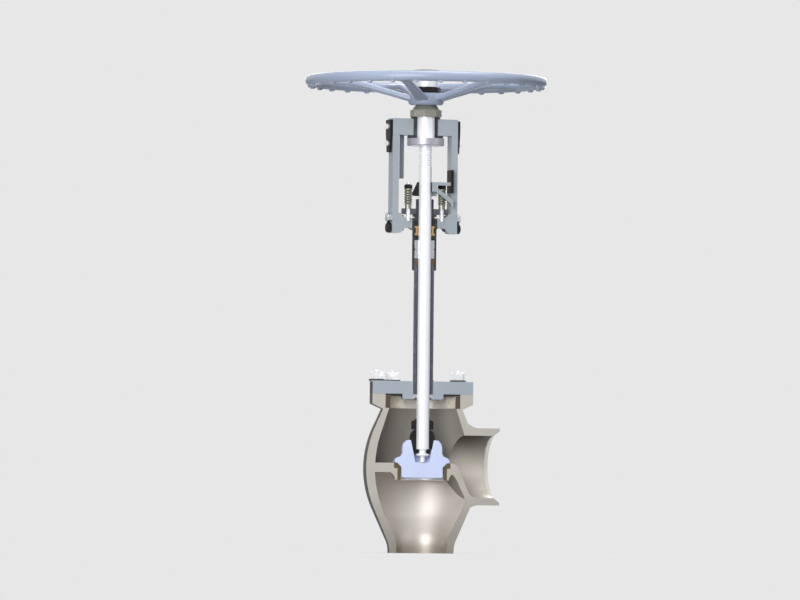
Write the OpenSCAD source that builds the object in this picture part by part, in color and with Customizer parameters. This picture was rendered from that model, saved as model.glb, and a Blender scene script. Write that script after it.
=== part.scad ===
// Angle globe valve with an extended bonnet, shown as a sectioned model.
// The front half of every fixed pressure part is cut away at the plane y = 0.
// The stem, the sleeve and the handwheel stay whole, so that the valve still works.
// The origin is the centre of the inlet face and +Z runs up the stem.

/* [Ports] */
// Outside diameter of the inlet weld end
inlet_od = 168.3; // [162:0.1:176]
// Bore of the inlet, that of a heavy pipe
inlet_bore = 131.8; // [128:0.1:136]
// Outside diameter of the outlet weld end
outlet_od = 191; // [186:1:198]
// Bore of the outlet
outlet_bore = 154; // [146:1:160]
// Wall left standing at the outlet's weld end
weld_land = 7; // [5:0.5:9]
// Distance from the valve axis to the outlet face
outlet_reach = 203; // [195:1:220]
// Height of the outlet axis above the inlet face
outlet_height = 216; // [212:1:220]

/* [Bowl] */
// Greatest outside radius of the bowl
bowl_r = 146.5; // [143:0.5:152]
// Wall of the bowl at its widest
bowl_wall = 23; // [18:1:26]
// Fullness of the bowl's side in section; at 1 its arc would reach both ends
bowl_fullness = 0.9; // [0.8:0.01:0.95]
// Height of the widest place of the bowl
bowl_height = 210; // [205:1:215]
// Height of the straight weld end below the bowl
weld_h = 19; // [14:1:26]

/* [Bridge and seat] */
// Height of the bridge's upper face, where the seat ring lies flush
seat_z = 223; // [219:1:227]
// Thickness of the level part of the bridge
bridge_t = 23; // [18:1:26]
// Diameter of the seat opening
port_d = 112; // [106:1:116]
// Outside diameter of the seat ring's head
seat_head_d = 148; // [144:1:152]
// Width of the boss that hangs from the bridge round the seat ring
boss_w = 28; // [24:1:32]
// Outside diameter of the seat ring's skirt
seat_skirt_d = 130; // [127:1:133]
// Height of the seat ring
seat_h = 42; // [36:1:46]

/* [Body flange] */
// Height of the joint face above the inlet face
joint_z = 394; // [388:1:402]
// Diameter of the body and bonnet flanges
flange_d = 264; // [262:1:280]
// Thickness of the body flange at its rim
flange_t = 25; // [22:1:30]
// Circle on which the bonnet studs stand
bolt_circle = 230; // [229:0.5:232]
// Number of bonnet studs round the whole flange
bolt_count = 8; // [4:4:12]
// Diameter of the bonnet studs
stud_d = 20; // [16:1:22]
// Outside diameter of the liner in the neck
liner_od = 196; // [192:1:198]
// Bore of the liner in the neck
liner_bore = 170; // [166:1:176]
// Height of the liner in the neck
liner_h = 32; // [26:1:36]

/* [Bonnet] */
// Thickness of the bonnet flange
bonnet_t = 32; // [26:1:38]
// Diameter of the boss under the bonnet flange
boss_d = 108; // [100:1:112]
// Depth of the boss below the joint face
boss_depth = 13; // [9:1:16]
// Thickness of the flat gasket
gasket_t = 3.5; // [2:0.5:5]
// Length of the extension between flange and stuffing box
extension_l = 274; // [200:1:340]
// Outside diameter of the extension tube
tube_od = 52; // [50:1:56]
// Bore of the extension tube
tube_bore = 36; // [35:0.5:40]
// Outside diameter of the stuffing box
box_od = 62; // [60:1:66]
// Height of the stuffing box
box_h = 130; // [126:1:140]

/* [Packing] */
// Height of the ring at the bottom of the packing chamber
bottom_ring_h = 17; // [12:1:20]
// Height of the lower packing
lower_packing_h = 12; // [8:1:14]
// Height of the lantern ring
lantern_h = 23; // [18:1:24]
// Height of one upper packing ring
upper_packing_h = 8; // [6:1:9]

/* [Stem] */
// Diameter of the stem
stem_d = 32; // [30:0.5:34]
// Travel of the stem from closed to open
lift = 45; // [36:1:46]
// Height of the stem's lower shoulder
stem_foot_z = 240; // [238:1:243]
// Height of the collar that seats under the bonnet
collar_h = 28; // [22:1:30]
// Diameter of the collar that seats under the bonnet
collar_d = 57; // [50:1:60]

/* [Disc] */
// Diameter of the disc's seating flange
disc_d = 144; // [140:1:150]
// Diameter of the disc's hub
hub_d = 104; // [98:1:108]
// Height of the disc from its face to the top of the hub
disc_h = 93; // [88:1:98]
// Depth of the disc below the seat ring's top
pilot_h = 36; // [30:1:38]
// Diameter of the mouth of the disc's socket
socket_d = 60; // [56:1:64]

/* [Gland] */
// Distance of each gland stud from the stem axis
gland_stud_x = 44; // [43:0.5:46]
// Diameter of the gland studs
gland_stud_d = 12; // [10:1:12]
// Thickness of the gland flange
gland_flange_t = 14; // [10:1:16]
// Length of the gland flange
gland_flange_l = 122; // [116:1:126]
// Height of the gland follower above its collar
follower_h = 44; // [34:1:46]
// Number of disc springs on each gland stud
spring_count = 12; // [6:2:14]
// Outside diameter of the disc springs
spring_d = 20; // [18:0.5:22]

/* [Yoke] */
// Distance between the inner faces of the yoke arms
yoke_gap = 138; // [134:1:146]
// Thickness of a yoke arm
arm_t = 16; // [14:1:20]
// Half of the yoke arm's width, the half that the section leaves
arm_half_w = 33; // [28:1:38]
// Depth of the foot of the yoke arms below the top of the stuffing box
arm_foot_drop = 38; // [34:1:42]
// Height of the underside of the yoke plate
plate_z = 1035; // [1030:1:1060]
// Thickness of the yoke plate
plate_t = 41; // [34:1:46]
// Half of the yoke plate's width, the half that the section leaves
plate_half_w = 40; // [38:1:48]
// Length of the outer cleats
cleat_l = 80; // [66:1:90]

/* [Sleeve] */
// Outside diameter of the yoke sleeve
sleeve_d = 44; // [42:0.5:48]
// Diameter of the flange at the sleeve's foot
sleeve_flange_d = 92; // [80:1:96]
// Thickness of the flange at the sleeve's foot
sleeve_flange_t = 18; // [14:1:20]
// Thickness of the lower thrust ring
thrust_t = 8; // [6:1:10]
// Outside diameter of the bush in the yoke plate
bush_od = 64; // [58:1:70]
// Height of the nut that holds the sleeve down
sleeve_nut_h = 17; // [12:1:20]

/* [Handwheel] */
// Outside diameter of the handwheel
wheel_d = 600; // [500:10:640]
// Thickness of the rim
rim_d = 26; // [22:1:32]
// Height of the middle of the rim above the hub's foot
rim_rise = 58; // [44:1:64]
// Number of spokes
spoke_count = 5; // [3:1:6]
// Diameter of the hub
wheel_hub_d = 88; // [80:1:96]
// Height of the hub
wheel_hub_h = 30; // [26:1:36]
// Number of finger grips under the rim
grip_count = 30; // [20:2:36]

/* [Stem protector] */
// Outside diameter of the protector tube
protector_od = 58; // [54:1:62]
// Length of the protector tube
protector_l = 32; // [24:1:60]
// Diameter of the flat cap
cap_d = 70; // [66:1:76]
// Thickness of the flat cap
cap_t = 10; // [6:1:12]

/* [Hidden] */
$fn = 72;

// Clearances, each used on both pieces of its pair
run_gap = 0.05;
slide_gap = 0.3;
seat_gap = 0.3;
thread_gap = 0.1;
hole_gap = 0.5;
over = 1;

// Radii
inlet_r = inlet_od / 2;
outlet_r = outlet_od / 2;
flange_r = flange_d / 2;
stem_r = stem_d / 2;
port_r = port_d / 2;
seat_head_r = seat_head_d / 2;
seat_skirt_r = seat_skirt_d / 2;
tube_r = tube_od / 2;
box_r = box_od / 2;
chamber_r = tube_r;
sleeve_r = sleeve_d / 2;

// Body
mouth_l = 16;
neck_z = joint_z - flange_t - 13;
neck_r = liner_od / 2 + 6;
liner_z = joint_z - gasket_t - liner_h;
bowl_top_r = liner_bore / 2 + 3;
inner_r = bowl_r - bowl_wall;
throat_h = weld_h + 17;
throat_ease = 20;
weld_ease = 14;
root_swell = 18;
root_x = bowl_r - 34;
swell_l = 36;
swell_steps = 8;
ease_steps = 5;
blend_depth = 0.1;
blend_l = 14;
stud_hole_depth = 28;
seat_floor = seat_z - seat_h;
boss_ring_r = seat_skirt_r + boss_w;
boss_hollow_r = 23.5;
boss_hollow_z = seat_floor - 3;

// The bridge's sloping stretch, as points in the plane of the section
slope_top = [seat_head_r + 16, seat_z];
slope_foot = [inner_r + 4.5, outlet_height - outlet_bore / 2];
crest_ease = 14;
foot_ease = 16;
under_ease = 20;
under_top = [seat_skirt_r + 17, seat_z - bridge_t];
under_foot = [inner_r - 9, slope_foot[1] - 6];
under_slope = (under_top[1] - under_foot[1]) / (under_foot[0] - under_top[0]);

// Seat
seat_cone_h = 8;
seat_cone_z = seat_z - 1;
seat_head_h = 13;

// Bonnet
bonnet_top = joint_z + bonnet_t;
boss_z = joint_z - boss_depth;
backseat_h = 12;
box_z = bonnet_top + extension_l;
tube_top = box_z + 13;
box_top = box_z + box_h;
washer_t = 4;
nut_h = 19;
stud_end = 5;
stud_low = joint_z - stud_hole_depth + 0.3;
stud_top = bonnet_top + washer_t + nut_h + stud_end;

// Packing, stacked upwards from the end of the tube
bush_z = tube_top + bottom_ring_h;
nose_depth = 4;
guide_bush_h = box_top - nose_depth - 2 * upper_packing_h - lantern_h - lower_packing_h - bush_z;
low_packing_z = bush_z + guide_bush_h;
lantern_z = low_packing_z + lower_packing_h;
top_packing_z = lantern_z + lantern_h;
follower_z = top_packing_z + 2 * upper_packing_h;

// Gland
follower_collar_z = box_top + 3;
follower_collar_h = 6;
gland_flange_z = follower_collar_z + follower_collar_h;
gland_flange_top = gland_flange_z + gland_flange_t;
follower_top = follower_collar_z + follower_h;
spacer_h = 10;
spring_t = 1.8;
spring_cone = 1.1;
spring_pitch = spring_t + spring_cone + 0.15;
spring_z = gland_flange_top + spacer_h;
springs_top = spring_z + spring_count * spring_pitch;
gland_washer_t = 2.5;
gland_nut_z = springs_top + gland_washer_t;
gland_nut_h = 10;
gland_nut_flats = 1.55 * gland_stud_d;
gland_reach = max(spring_d / 2, gland_nut_flats / 2 / cos(30));
gland_stud_top = gland_nut_z + gland_nut_h + 4;

// Yoke
arm_x = yoke_gap / 2;
arm_out = arm_x + arm_t;
arm_foot_z = box_top - arm_foot_drop;
plate_top = plate_z + plate_t;
stem_top_z = plate_top + 10;
wing_rise = 12;
wing_top = box_top + wing_rise;
wing_low = box_top - 14;
wing_half_w = 24;
wing_arch_r = 20;
pad_t = arm_x - gland_flange_l / 2 - 1;
arm_bolt_d = 14;
arm_bolt_z = [arm_foot_z + 13, arm_foot_z + 38];
arm_bolt_y = wing_half_w / 2 + 2;
arm_bolt_l = 34;
arm_bolt_flats = 22;
arm_head_t = 11;
cleat_t = 7;
cleat_z = plate_top - 4 - cleat_l;
cleat_waist_z = cleat_z + 0.58 * cleat_l;
screw_d = 8;
cleat_screw_z = [plate_z + plate_t / 2, cleat_z + 22];
cleat_screw_l = 14;
scale_x = -57;
scale_w = 11;
scale_t = 3;
scale_l = 107;

// Sleeve, nut and wheel, stacked upwards from the thrust ring
sleeve_flange_top = plate_z - thrust_t - seat_gap;
sleeve_foot = sleeve_flange_top - sleeve_flange_t;
upper_ring_t = 4;
upper_ring_top = plate_top + upper_ring_t;
sleeve_nut_z = upper_ring_top + seat_gap;
sleeve_nut_cone_h = 12;
hub_z = sleeve_nut_z + sleeve_nut_h + sleeve_nut_cone_h;
hub_top = hub_z + wheel_hub_h;
wheel_nut_h = 15;
wheel_nut_top = hub_top + wheel_nut_h;
protector_z = wheel_nut_top;
sleeve_top = protector_z + 14;
protector_top = protector_z + protector_l;
rim_z = hub_z + rim_rise;
rim_r = (wheel_d - rim_d) / 2;
spoke_t = 16;
spoke_w = 9;
spoke_root_w = 19;
key_w = 8;
key_h = 7;
key_l = wheel_hub_h - 6;
key_depth = 3;

// Stem and disc
groove_z = stem_foot_z + 12;
split_ring_r = 6;
split_ring_mid = stem_r - 1.5;
button_r = 6;
disc_low = seat_z - pilot_h;
disc_top = disc_low + disc_h;
socket_floor = stem_foot_z - 15;
socket_foot_r = 18;
disc_nut_low = groove_z + split_ring_r;
disc_nut_rise = 25.5;
disc_nut_top = disc_top + disc_nut_rise;
collar_z = boss_z - lift - 2 - collar_h;
collar_cone_h = 6;
guide_low = follower_top + 8;
guide_h = 34;
guide_top = guide_low + guide_h;
guide_foot_h = 10;
guide_r = 31;
guide_tip_r = stem_r + 4;
guide_screw_r = 4;
guide_screw_h = 6;
guide_screw_reach = guide_r - 4;
guide_plate_t = 6;
guide_plate_y = -gland_reach - 1 - guide_plate_t;
lug_w = 14;
lug_back = 14;
guide_arm_w = 8;
brace_w = 8;
brace_low = gland_flange_top + 6;
slider_t = 8;
slider_x = arm_x - slider_t;
slider_low = guide_low + 8;
slider_h = 57;
slider_back = 12;

steel = [0.78, 0.80, 0.83];
bright = [0.92, 0.93, 0.96];
casting = [0.74, 0.71, 0.66];
grey_paint = [0.63, 0.66, 0.70];
dark = [0.16, 0.17, 0.18];
brown = [0.35, 0.29, 0.24];
lavender = [0.78, 0.82, 0.94];
brass = [0.80, 0.64, 0.38];

// Turns an outline through the half circle that the section leaves.
module half_turn() {
    rotate_extrude(angle = 180) children();
}

// Keeps what lies behind the plane of the section.
module kept_half() {
    intersection() {
        children();
        translate([-wheel_d, 0, -over]) cube([2 * wheel_d, wheel_d, 2 * stem_top_z]);
    }
}

// A ring's section: inner and outer radius, foot and height.
module ring_section(inner, outer, foot, height) {
    translate([inner, foot]) square([outer - inner, height]);
}

// A ring's section with its four corners broken.
module eased_section(inner, outer, foot, height, ease) {
    top = foot + height;
    polygon([
        [inner + ease, foot], [outer - ease, foot], [outer, foot + ease], [outer, top - ease],
        [outer - ease, top], [inner + ease, top], [inner, top - ease], [inner, foot + ease]
    ]);
}

// Lays a shape along the outlet: its own Z becomes +X.
module along_outlet() {
    translate([0, 0, outlet_height]) rotate([0, 90, 0]) children();
}

// Stands a shape on each bonnet stud that lies behind the section.
module at_studs() {
    for (k = [0 : bolt_count / 2 - 1])
        rotate([0, 0, (k + 0.5) * 360 / bolt_count])
            translate([bolt_circle / 2, 0, 0]) children();
}

// The point where a line from p touches the circle about c, on the upper (+1) or lower (-1) side.
function touch(p, c, r, side) =
    let (
        v = p - c,
        turn = atan2(v[1], v[0]) - side * acos(r / norm(v))
    )
    c + r * [cos(turn), sin(turn)];

// The largest arc that still leaves a point p outside it, if it bulges to widest.
function largest_arc(widest, p) =
    let (d = widest - p[0], h = bowl_height - p[1]) (h * h + d * d) / (2 * d);

// An outline with its corners eased: cuts gives how far from each corner its curve begins.
function eased(points, cuts) = [
    for (k = [0 : len(points) - 1])
        let (
            corner = points[k],
            before = points[(k + len(points) - 1) % len(points)] - corner,
            after = points[(k + 1) % len(points)] - corner,
            start = corner + cuts[k] * before / norm(before),
            stop = corner + cuts[k] * after / norm(after)
        )
        for (t = cuts[k] == 0 ? [0] : [for (j = [0 : ease_steps]) j / ease_steps])
            (1 - t) * (1 - t) * start + 2 * t * (1 - t) * corner + t * t * stop
];

// A bowl's half section: two cones that run into one arc, over a straight end of the given length.
// foot and top are the cones' ends, and the corner at the foot is eased.
// The cones touch a circle a little smaller than the arc, so that each crosses the arc cleanly.
module bowl_section(widest, foot, top, straight, ease) {
    arc = bowl_fullness * min(largest_arc(widest, foot), largest_arc(widest, top));
    centre = [widest - arc, bowl_height];
    low = touch(foot, centre, arc - blend_depth, -1);
    high = touch(top, centre, arc - blend_depth, 1);
    polygon(eased(
        [[0, foot[1] - straight], [foot[0], foot[1] - straight], foot, low, high, top, [0, top[1]]],
        [0, 0, ease, 0, 0, 0, 0]
    ));
    intersection() {
        translate(centre) circle(arc);
        translate([0, low[1] - blend_l]) square([widest + over, high[1] - low[1] + 2 * blend_l]);
    }
}

// The bowl's whole inside and the inlet's bore, before the bridge divides them.
module bowl_space() {
    rotate_extrude() bowl_section(
        inner_r, [inlet_bore / 2, throat_h], [bowl_top_r, liner_z], throat_h + over, throat_ease
    );
}

// An outline in the plane of the section, drawn out to both sides of it.
module across() {
    rotate([90, 0, 0]) linear_extrude(2 * bowl_r + 20, center = true) children();
}

// Everything below the bridge.
module below_bridge() {
    across() polygon(eased(
        [
            [-bowl_r, -2 * over], [bowl_r, -2 * over],
            [bowl_r, under_foot[1] - (bowl_r - under_foot[0]) * under_slope],
            under_top, [-bowl_r, under_top[1]]
        ],
        [0, 0, 0, under_ease, 0]
    ));
}

// Everything above the bridge.
module above_bridge() {
    across() polygon(eased(
        [
            [-bowl_r, slope_top[1]], slope_top, slope_foot,
            [outlet_reach + over, slope_foot[1]], [outlet_reach + over, joint_z], [-bowl_r, joint_z]
        ],
        [0, crest_ease, foot_ease, 0, 0, 0]
    ));
}

// Body casting: bowl, outlet branch, neck flange, and the bridge that carries the seat.
module body() {
    color(casting)
    difference() {
        union() {
            difference() {
                union() {
                    half_turn() {
                        bowl_section(bowl_r, [inlet_r, weld_h], [neck_r, neck_z], weld_h, weld_ease);
                        polygon([
                            [0, neck_z - over], [neck_r, neck_z - over], [neck_r, neck_z],
                            [flange_r, joint_z - flange_t], [flange_r, joint_z - 1.5],
                            [flange_r - 1.5, joint_z], [0, joint_z]
                        ]);
                    }
                    along_outlet() half_turn() branch_section();
                }
                intersection() {
                    bowl_space();
                    below_bridge();
                }
                intersection() {
                    union() {
                        bowl_space();
                        along_outlet() cylinder(h = outlet_reach + over, r = outlet_bore / 2);
                    }
                    above_bridge();
                }
                along_outlet() translate([0, 0, outlet_reach]) mirror([0, 0, 1])
                    mouth(outlet_bore / 2, outlet_r - weld_land);
            }
            difference() {
                half_turn() seat_boss_section();
                above_bridge();
            }
        }
        translate([0, 0, seat_floor - over])
            cylinder(h = seat_h + 2 * over, r = seat_skirt_r);
        translate([0, 0, seat_z - seat_head_h])
            cylinder(h = seat_head_h + over, r = seat_head_r);
        translate([0, 0, liner_z]) cylinder(h = joint_z, r = liner_od / 2);
        at_studs() translate([0, 0, joint_z - stud_hole_depth])
            cylinder(h = stud_hole_depth + over, r = stud_d / 2);
    }
}

// The taper that opens the outlet's bore to the pipe's.
module mouth(narrow, wide) {
    translate([0, 0, -0.01]) cylinder(h = mouth_l, r1 = wide, r2 = narrow);
}

// Half section of the outlet branch, swollen where it leaves the bowl.
module branch_section() {
    polygon([
        [0, 0], [outlet_r + root_swell, 0],
        for (k = [0 : swell_steps])
            [outlet_r + root_swell * pow(1 - k / swell_steps, 2), root_x + swell_l * k / swell_steps],
        [outlet_r, outlet_reach], [0, outlet_reach]
    ]);
}

// Section of the boss that hangs from the bridge round the seat ring, hollowed below by one arc.
module seat_boss_section() {
    difference() {
        ring_section(seat_skirt_r - 5, boss_ring_r, seat_floor, seat_h);
        translate([boss_ring_r, boss_hollow_z]) circle(boss_hollow_r);
    }
}

// Liner ring seated in the neck's counterbore.
module neck_liner() {
    color(brown)
    half_turn() eased_section(liner_bore / 2, liner_od / 2, liner_z, liner_h, 1);
}

// Seat ring with a conical seat at its upper inner edge.
module seat_ring() {
    color(brown)
    half_turn() polygon([
        [port_r, seat_floor + 1], [port_r + 1, seat_floor], [seat_skirt_r - 1, seat_floor],
        [seat_skirt_r, seat_floor + 1], [seat_skirt_r, seat_z - seat_head_h],
        [seat_head_r, seat_z - seat_head_h], [seat_head_r, seat_z], [port_r + seat_cone_h + 1, seat_z],
        [port_r + seat_cone_h, seat_cone_z], [port_r, seat_cone_z - seat_cone_h]
    ]);
}

// Flat gasket between the liner and the bonnet.
module bonnet_gasket() {
    color(dark)
    half_turn() ring_section(boss_d / 2 + 1, liner_od / 2 - 0.5, joint_z - gasket_t, gasket_t);
}

// Bonnet flange with its boss and stud holes.
module bonnet_flange() {
    color(grey_paint)
    difference() {
        half_turn() polygon([
            [tube_r, boss_z + 1], [tube_r + 1, boss_z], [boss_d / 2 - 3, boss_z],
            [boss_d / 2, boss_z + 3], [boss_d / 2, joint_z], [flange_r, joint_z],
            [flange_r, bonnet_top - 2], [flange_r - 2, bonnet_top], [tube_r, bonnet_top]
        ]);
        at_studs() translate([0, 0, joint_z - over])
            cylinder(h = bonnet_t + 2 * over, r = stud_d / 2 + hole_gap);
    }
}

// Studs that stand in the body flange.
module bonnet_studs() {
    color(steel)
    at_studs() {
        translate([0, 0, stud_low]) cylinder(h = stud_top - stud_low - 2, r = stud_d / 2);
        translate([0, 0, stud_top - 2]) cylinder(h = 2, r1 = stud_d / 2, r2 = stud_d / 2 - 2);
    }
}

// Plain washer on the plane z = 0.
module washer(bore_r, outer_r, thick) {
    difference() {
        cylinder(h = thick, r = outer_r);
        translate([0, 0, -over]) cylinder(h = thick + 2 * over, r = bore_r);
    }
}

// Hexagon nut on the plane z = 0, with its upper corners turned away.
module hex_nut(bore_r, flats, height) {
    corner_r = flats / 2 / cos(30);
    difference() {
        intersection() {
            cylinder(h = height, r = corner_r, $fn = 6);
            union() {
                cylinder(h = height - 2, r = corner_r + over);
                translate([0, 0, height - 2])
                    cylinder(h = 2, r1 = corner_r, r2 = flats / 2 - 1);
            }
        }
        translate([0, 0, -over]) cylinder(h = height + 2 * over, r = bore_r);
    }
}

// Washers under the bonnet nuts.
module bonnet_washers() {
    color(dark)
    at_studs() translate([0, 0, bonnet_top]) washer(stud_d / 2 + hole_gap, stud_d, washer_t);
}

// Nuts on the bonnet studs.
module bonnet_nuts() {
    color(steel)
    at_studs() translate([0, 0, bonnet_top + washer_t]) rotate([0, 0, 30])
        hex_nut(stud_d / 2, 1.5 * stud_d, nut_h);
}

// Extension tube, from the backseat to the stuffing box.
module extension_tube() {
    color(dark)
    half_turn() ring_section(tube_bore / 2, tube_r, boss_z + backseat_h, tube_top - boss_z - backseat_h);
}

// Short bush at the foot of the tube, with the cone that the stem's collar seats against.
module backseat_bush() {
    color(steel)
    half_turn() polygon([
        [stem_r + slide_gap, boss_z + 6], [tube_r - 1, boss_z], [tube_r, boss_z + 1],
        [tube_r, boss_z + backseat_h], [stem_r + slide_gap, boss_z + backseat_h]
    ]);
}

// Stuffing box with the two wings that the yoke arms are bolted to.
module stuffing_box() {
    color(grey_paint)
    difference() {
        kept_half() {
            cylinder_wall();
            wing();
            mirror([1, 0, 0]) wing();
        }
        translate([0, 0, box_z - over]) cylinder(h = box_h + 2 * over, r = chamber_r);
        for (side = [-1, 1]) {
            for (z = arm_bolt_z)
                translate([side * (arm_x + over), arm_bolt_y, z]) rotate([0, -side * 90, 0])
                    cylinder(h = arm_bolt_l - arm_t + 2 * over, r = arm_bolt_d / 2);
            translate([side * gland_stud_x, 0, wing_low + 5])
                cylinder(h = box_h, r = gland_stud_d / 2);
        }
    }
}

// The barrel of the stuffing box.
module cylinder_wall() {
    translate([0, 0, box_z + 2]) cylinder(h = box_h - 2, r = box_r);
    translate([0, 0, box_z]) cylinder(h = 2, r1 = box_r - 2, r2 = box_r);
}

// One wing: an arched bar that ends in a tall pad against the yoke arm.
module wing() {
    rotate([90, 0, 0]) linear_extrude(2 * wing_half_w, center = true) difference() {
        polygon([
            [0, wing_low - 10], [arm_x, arm_foot_z], [arm_x, wing_top], [arm_x - pad_t, wing_top],
            [arm_x - pad_t, box_top + wing_rise / 2], [arm_x - 2 * pad_t, box_top + 2],
            [arm_x - 3 * pad_t, box_top], [0, box_top]
        ]);
        translate([box_r + 12, arm_foot_z - 6]) circle(wing_arch_r);
    }
}

// Ring at the foot of the packing chamber.
module bottom_ring() {
    color(brown)
    half_turn() eased_section(stem_r + slide_gap, chamber_r, tube_top, bottom_ring_h, 0.8);
}

// Guide bush that centres the stem below the packing.
module guide_bush() {
    color(steel)
    half_turn() difference() {
        eased_section(stem_r + run_gap, chamber_r, bush_z, guide_bush_h, 0.8);
        translate([chamber_r, bush_z + guide_bush_h / 2]) circle(2);
    }
}

// Lower packing ring.
module packing_lower() {
    color(dark)
    half_turn() ring_section(stem_r + run_gap, chamber_r, low_packing_z, lower_packing_h);
}

// Lantern ring: a spool with a groove inside and outside and leak-off holes between them.
module lantern_ring() {
    color(brass)
    difference() {
        half_turn() difference() {
            ring_section(stem_r + slide_gap, chamber_r, lantern_z, lantern_h);
            translate([stem_r, lantern_z + 5]) square([2.5, lantern_h - 10]);
            translate([chamber_r - 2.5, lantern_z + 5]) square([2.5 + over, lantern_h - 10]);
        }
        for (turn = [30 : 40 : 150])
            rotate([0, 0, turn]) translate([stem_r, 0, lantern_z + lantern_h / 2]) rotate([0, 90, 0])
                cylinder(h = chamber_r, r = 2.5);
    }
}

// Two upper packing rings.
module packing_upper() {
    color(dark)
    half_turn() for (k = [0, 1])
        ring_section(
            stem_r + run_gap, chamber_r,
            top_packing_z + k * upper_packing_h + 0.1, upper_packing_h - 0.2
        );
}

// Gland follower: a nose in the packing chamber, a collar and a long neck.
module gland_follower() {
    neck_r = chamber_r - 3;
    color(steel)
    half_turn() polygon([
        [stem_r + slide_gap, follower_z], [chamber_r - 0.2, follower_z],
        [chamber_r - 0.2, follower_collar_z], [box_r, follower_collar_z],
        [box_r, follower_collar_z + follower_collar_h], [neck_r, follower_collar_z + follower_collar_h],
        [neck_r, follower_top - 1.5], [neck_r - 1.5, follower_top], [stem_r + slide_gap, follower_top]
    ]);
}

// Oval gland flange that bears on the follower's collar.
module gland_flange() {
    end_r = 15;
    color(dark)
    kept_half() translate([0, 0, gland_flange_z]) difference() {
        union() {
            cylinder(h = gland_flange_t, r = box_r + 3);
            linear_extrude(gland_flange_t) polygon([
                [-gland_flange_l / 2 + end_r, -end_r], [-20, -box_r - 2], [20, -box_r - 2],
                [gland_flange_l / 2 - end_r, -end_r], [gland_flange_l / 2 - end_r, end_r],
                [20, box_r + 2], [-20, box_r + 2], [-gland_flange_l / 2 + end_r, end_r]
            ]);
            for (side = [-1, 1])
                translate([side * (gland_flange_l / 2 - end_r), 0, 0])
                    cylinder(h = gland_flange_t, r = end_r);
        }
        translate([0, 0, -over])
            cylinder(h = gland_flange_t + 2 * over, r = chamber_r - 3 + slide_gap);
        for (side = [-1, 1])
            translate([side * gland_stud_x, 0, -over])
                cylinder(h = gland_flange_t + 2 * over, r = gland_stud_d / 2 + hole_gap);
    }
}

// Stands a shape on both gland studs, which the section leaves whole.
module at_gland_studs() {
    for (side = [-1, 1]) translate([side * gland_stud_x, 0, 0]) children();
}

// Gland studs, threaded into the wings of the stuffing box.
module gland_studs() {
    foot = wing_low + 5.2;
    color(steel)
    at_gland_studs() translate([0, 0, foot]) {
        cylinder(h = gland_stud_top - foot - 1.5, r = gland_stud_d / 2);
        translate([0, 0, gland_stud_top - foot - 1.5])
            cylinder(h = 1.5, r1 = gland_stud_d / 2, r2 = gland_stud_d / 2 - 1.5);
    }
}

// Disc springs on a spacer, stacked face about, with a hard washer on top.
module gland_springs() {
    bore_r = gland_stud_d / 2 + hole_gap;
    outer_r = spring_d / 2;
    color(steel)
    at_gland_studs() rotate_extrude() {
        ring_section(bore_r, outer_r - 2, gland_flange_top, spacer_h - 0.2);
        for (k = [0 : spring_count - 1]) {
            inner_lift = k % 2 == 0 ? spring_cone : 0;
            outer_lift = k % 2 == 0 ? 0 : spring_cone;
            z = spring_z + k * spring_pitch;
            polygon([
                [bore_r, z + inner_lift], [outer_r, z + outer_lift],
                [outer_r, z + outer_lift + spring_t], [bore_r, z + inner_lift + spring_t]
            ]);
        }
        ring_section(bore_r, outer_r, springs_top, gland_washer_t);
    }
}

// Nuts that load the gland springs.
module gland_nuts() {
    color(dark)
    at_gland_studs() translate([0, 0, gland_nut_z])
        hex_nut(gland_stud_d / 2, gland_nut_flats, gland_nut_h);
}

// One yoke arm on the +X side, with its foot rounded and its bolt holes.
module yoke_arm() {
    color(grey_paint)
    difference() {
        translate([arm_x, 0, 0]) rotate([90, 0, 90]) linear_extrude(arm_t) union() {
            translate([0, arm_foot_z + 12]) square([arm_half_w, plate_z - arm_foot_z - 12]);
            translate([0, arm_foot_z]) square([arm_half_w - 12, 12 + over]);
            translate([arm_half_w - 12, arm_foot_z + 12]) circle(12);
        }
        for (z = arm_bolt_z)
            translate([arm_x - over, arm_bolt_y, z]) rotate([0, 90, 0])
                cylinder(h = arm_t + 2 * over, r = arm_bolt_d / 2 + hole_gap);
        translate([arm_out - cleat_screw_l + cleat_t, plate_half_w / 2, cleat_screw_z[1]])
            rotate([0, 90, 0]) cylinder(h = cleat_screw_l, r = screw_d / 2);
    }
}

// Left yoke arm.
module yoke_arm_left() {
    mirror([1, 0, 0]) yoke_arm();
}

// Right yoke arm.
module yoke_arm_right() {
    yoke_arm();
}

// Yoke plate that carries the sleeve.
module yoke_plate() {
    color(grey_paint)
    difference() {
        translate([-arm_out, 0, plate_z]) cube([2 * arm_out, plate_half_w, plate_t]);
        translate([0, 0, plate_z - over]) cylinder(h = plate_t + 2 * over, r = bush_od / 2);
        for (side = [-1, 1])
            translate([side * (arm_out - cleat_screw_l + cleat_t), plate_half_w / 2, cleat_screw_z[0]])
                rotate([0, side * 90, 0]) cylinder(h = cleat_screw_l, r = screw_d / 2);
    }
}

// Hexagon bolt along +Z: the head sits below the plane z = 0 and the shank above it.
module hex_bolt(shank_r, flats, head_t, length) {
    translate([0, 0, -head_t]) difference() {
        cylinder(h = head_t, r = flats / 2 / cos(30), $fn = 6);
        difference() {
            translate([0, 0, -over]) cylinder(h = 2 + over, r = flats);
            translate([0, 0, -over])
                cylinder(h = 2 + over, r1 = flats / 2 - 2, r2 = flats / 2 / cos(30));
        }
    }
    translate([0, 0, -0.01]) cylinder(h = length + 0.01, r = shank_r);
}

// Bolts that hold the yoke arms to the wings.
module yoke_bolts() {
    color(dark)
    for (side = [-1, 1], z = arm_bolt_z)
        translate([side * arm_out, arm_bolt_y, z]) rotate([0, -side * 90, 0])
            hex_bolt(arm_bolt_d / 2, arm_bolt_flats, arm_head_t, arm_bolt_l - 1);
}

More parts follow.
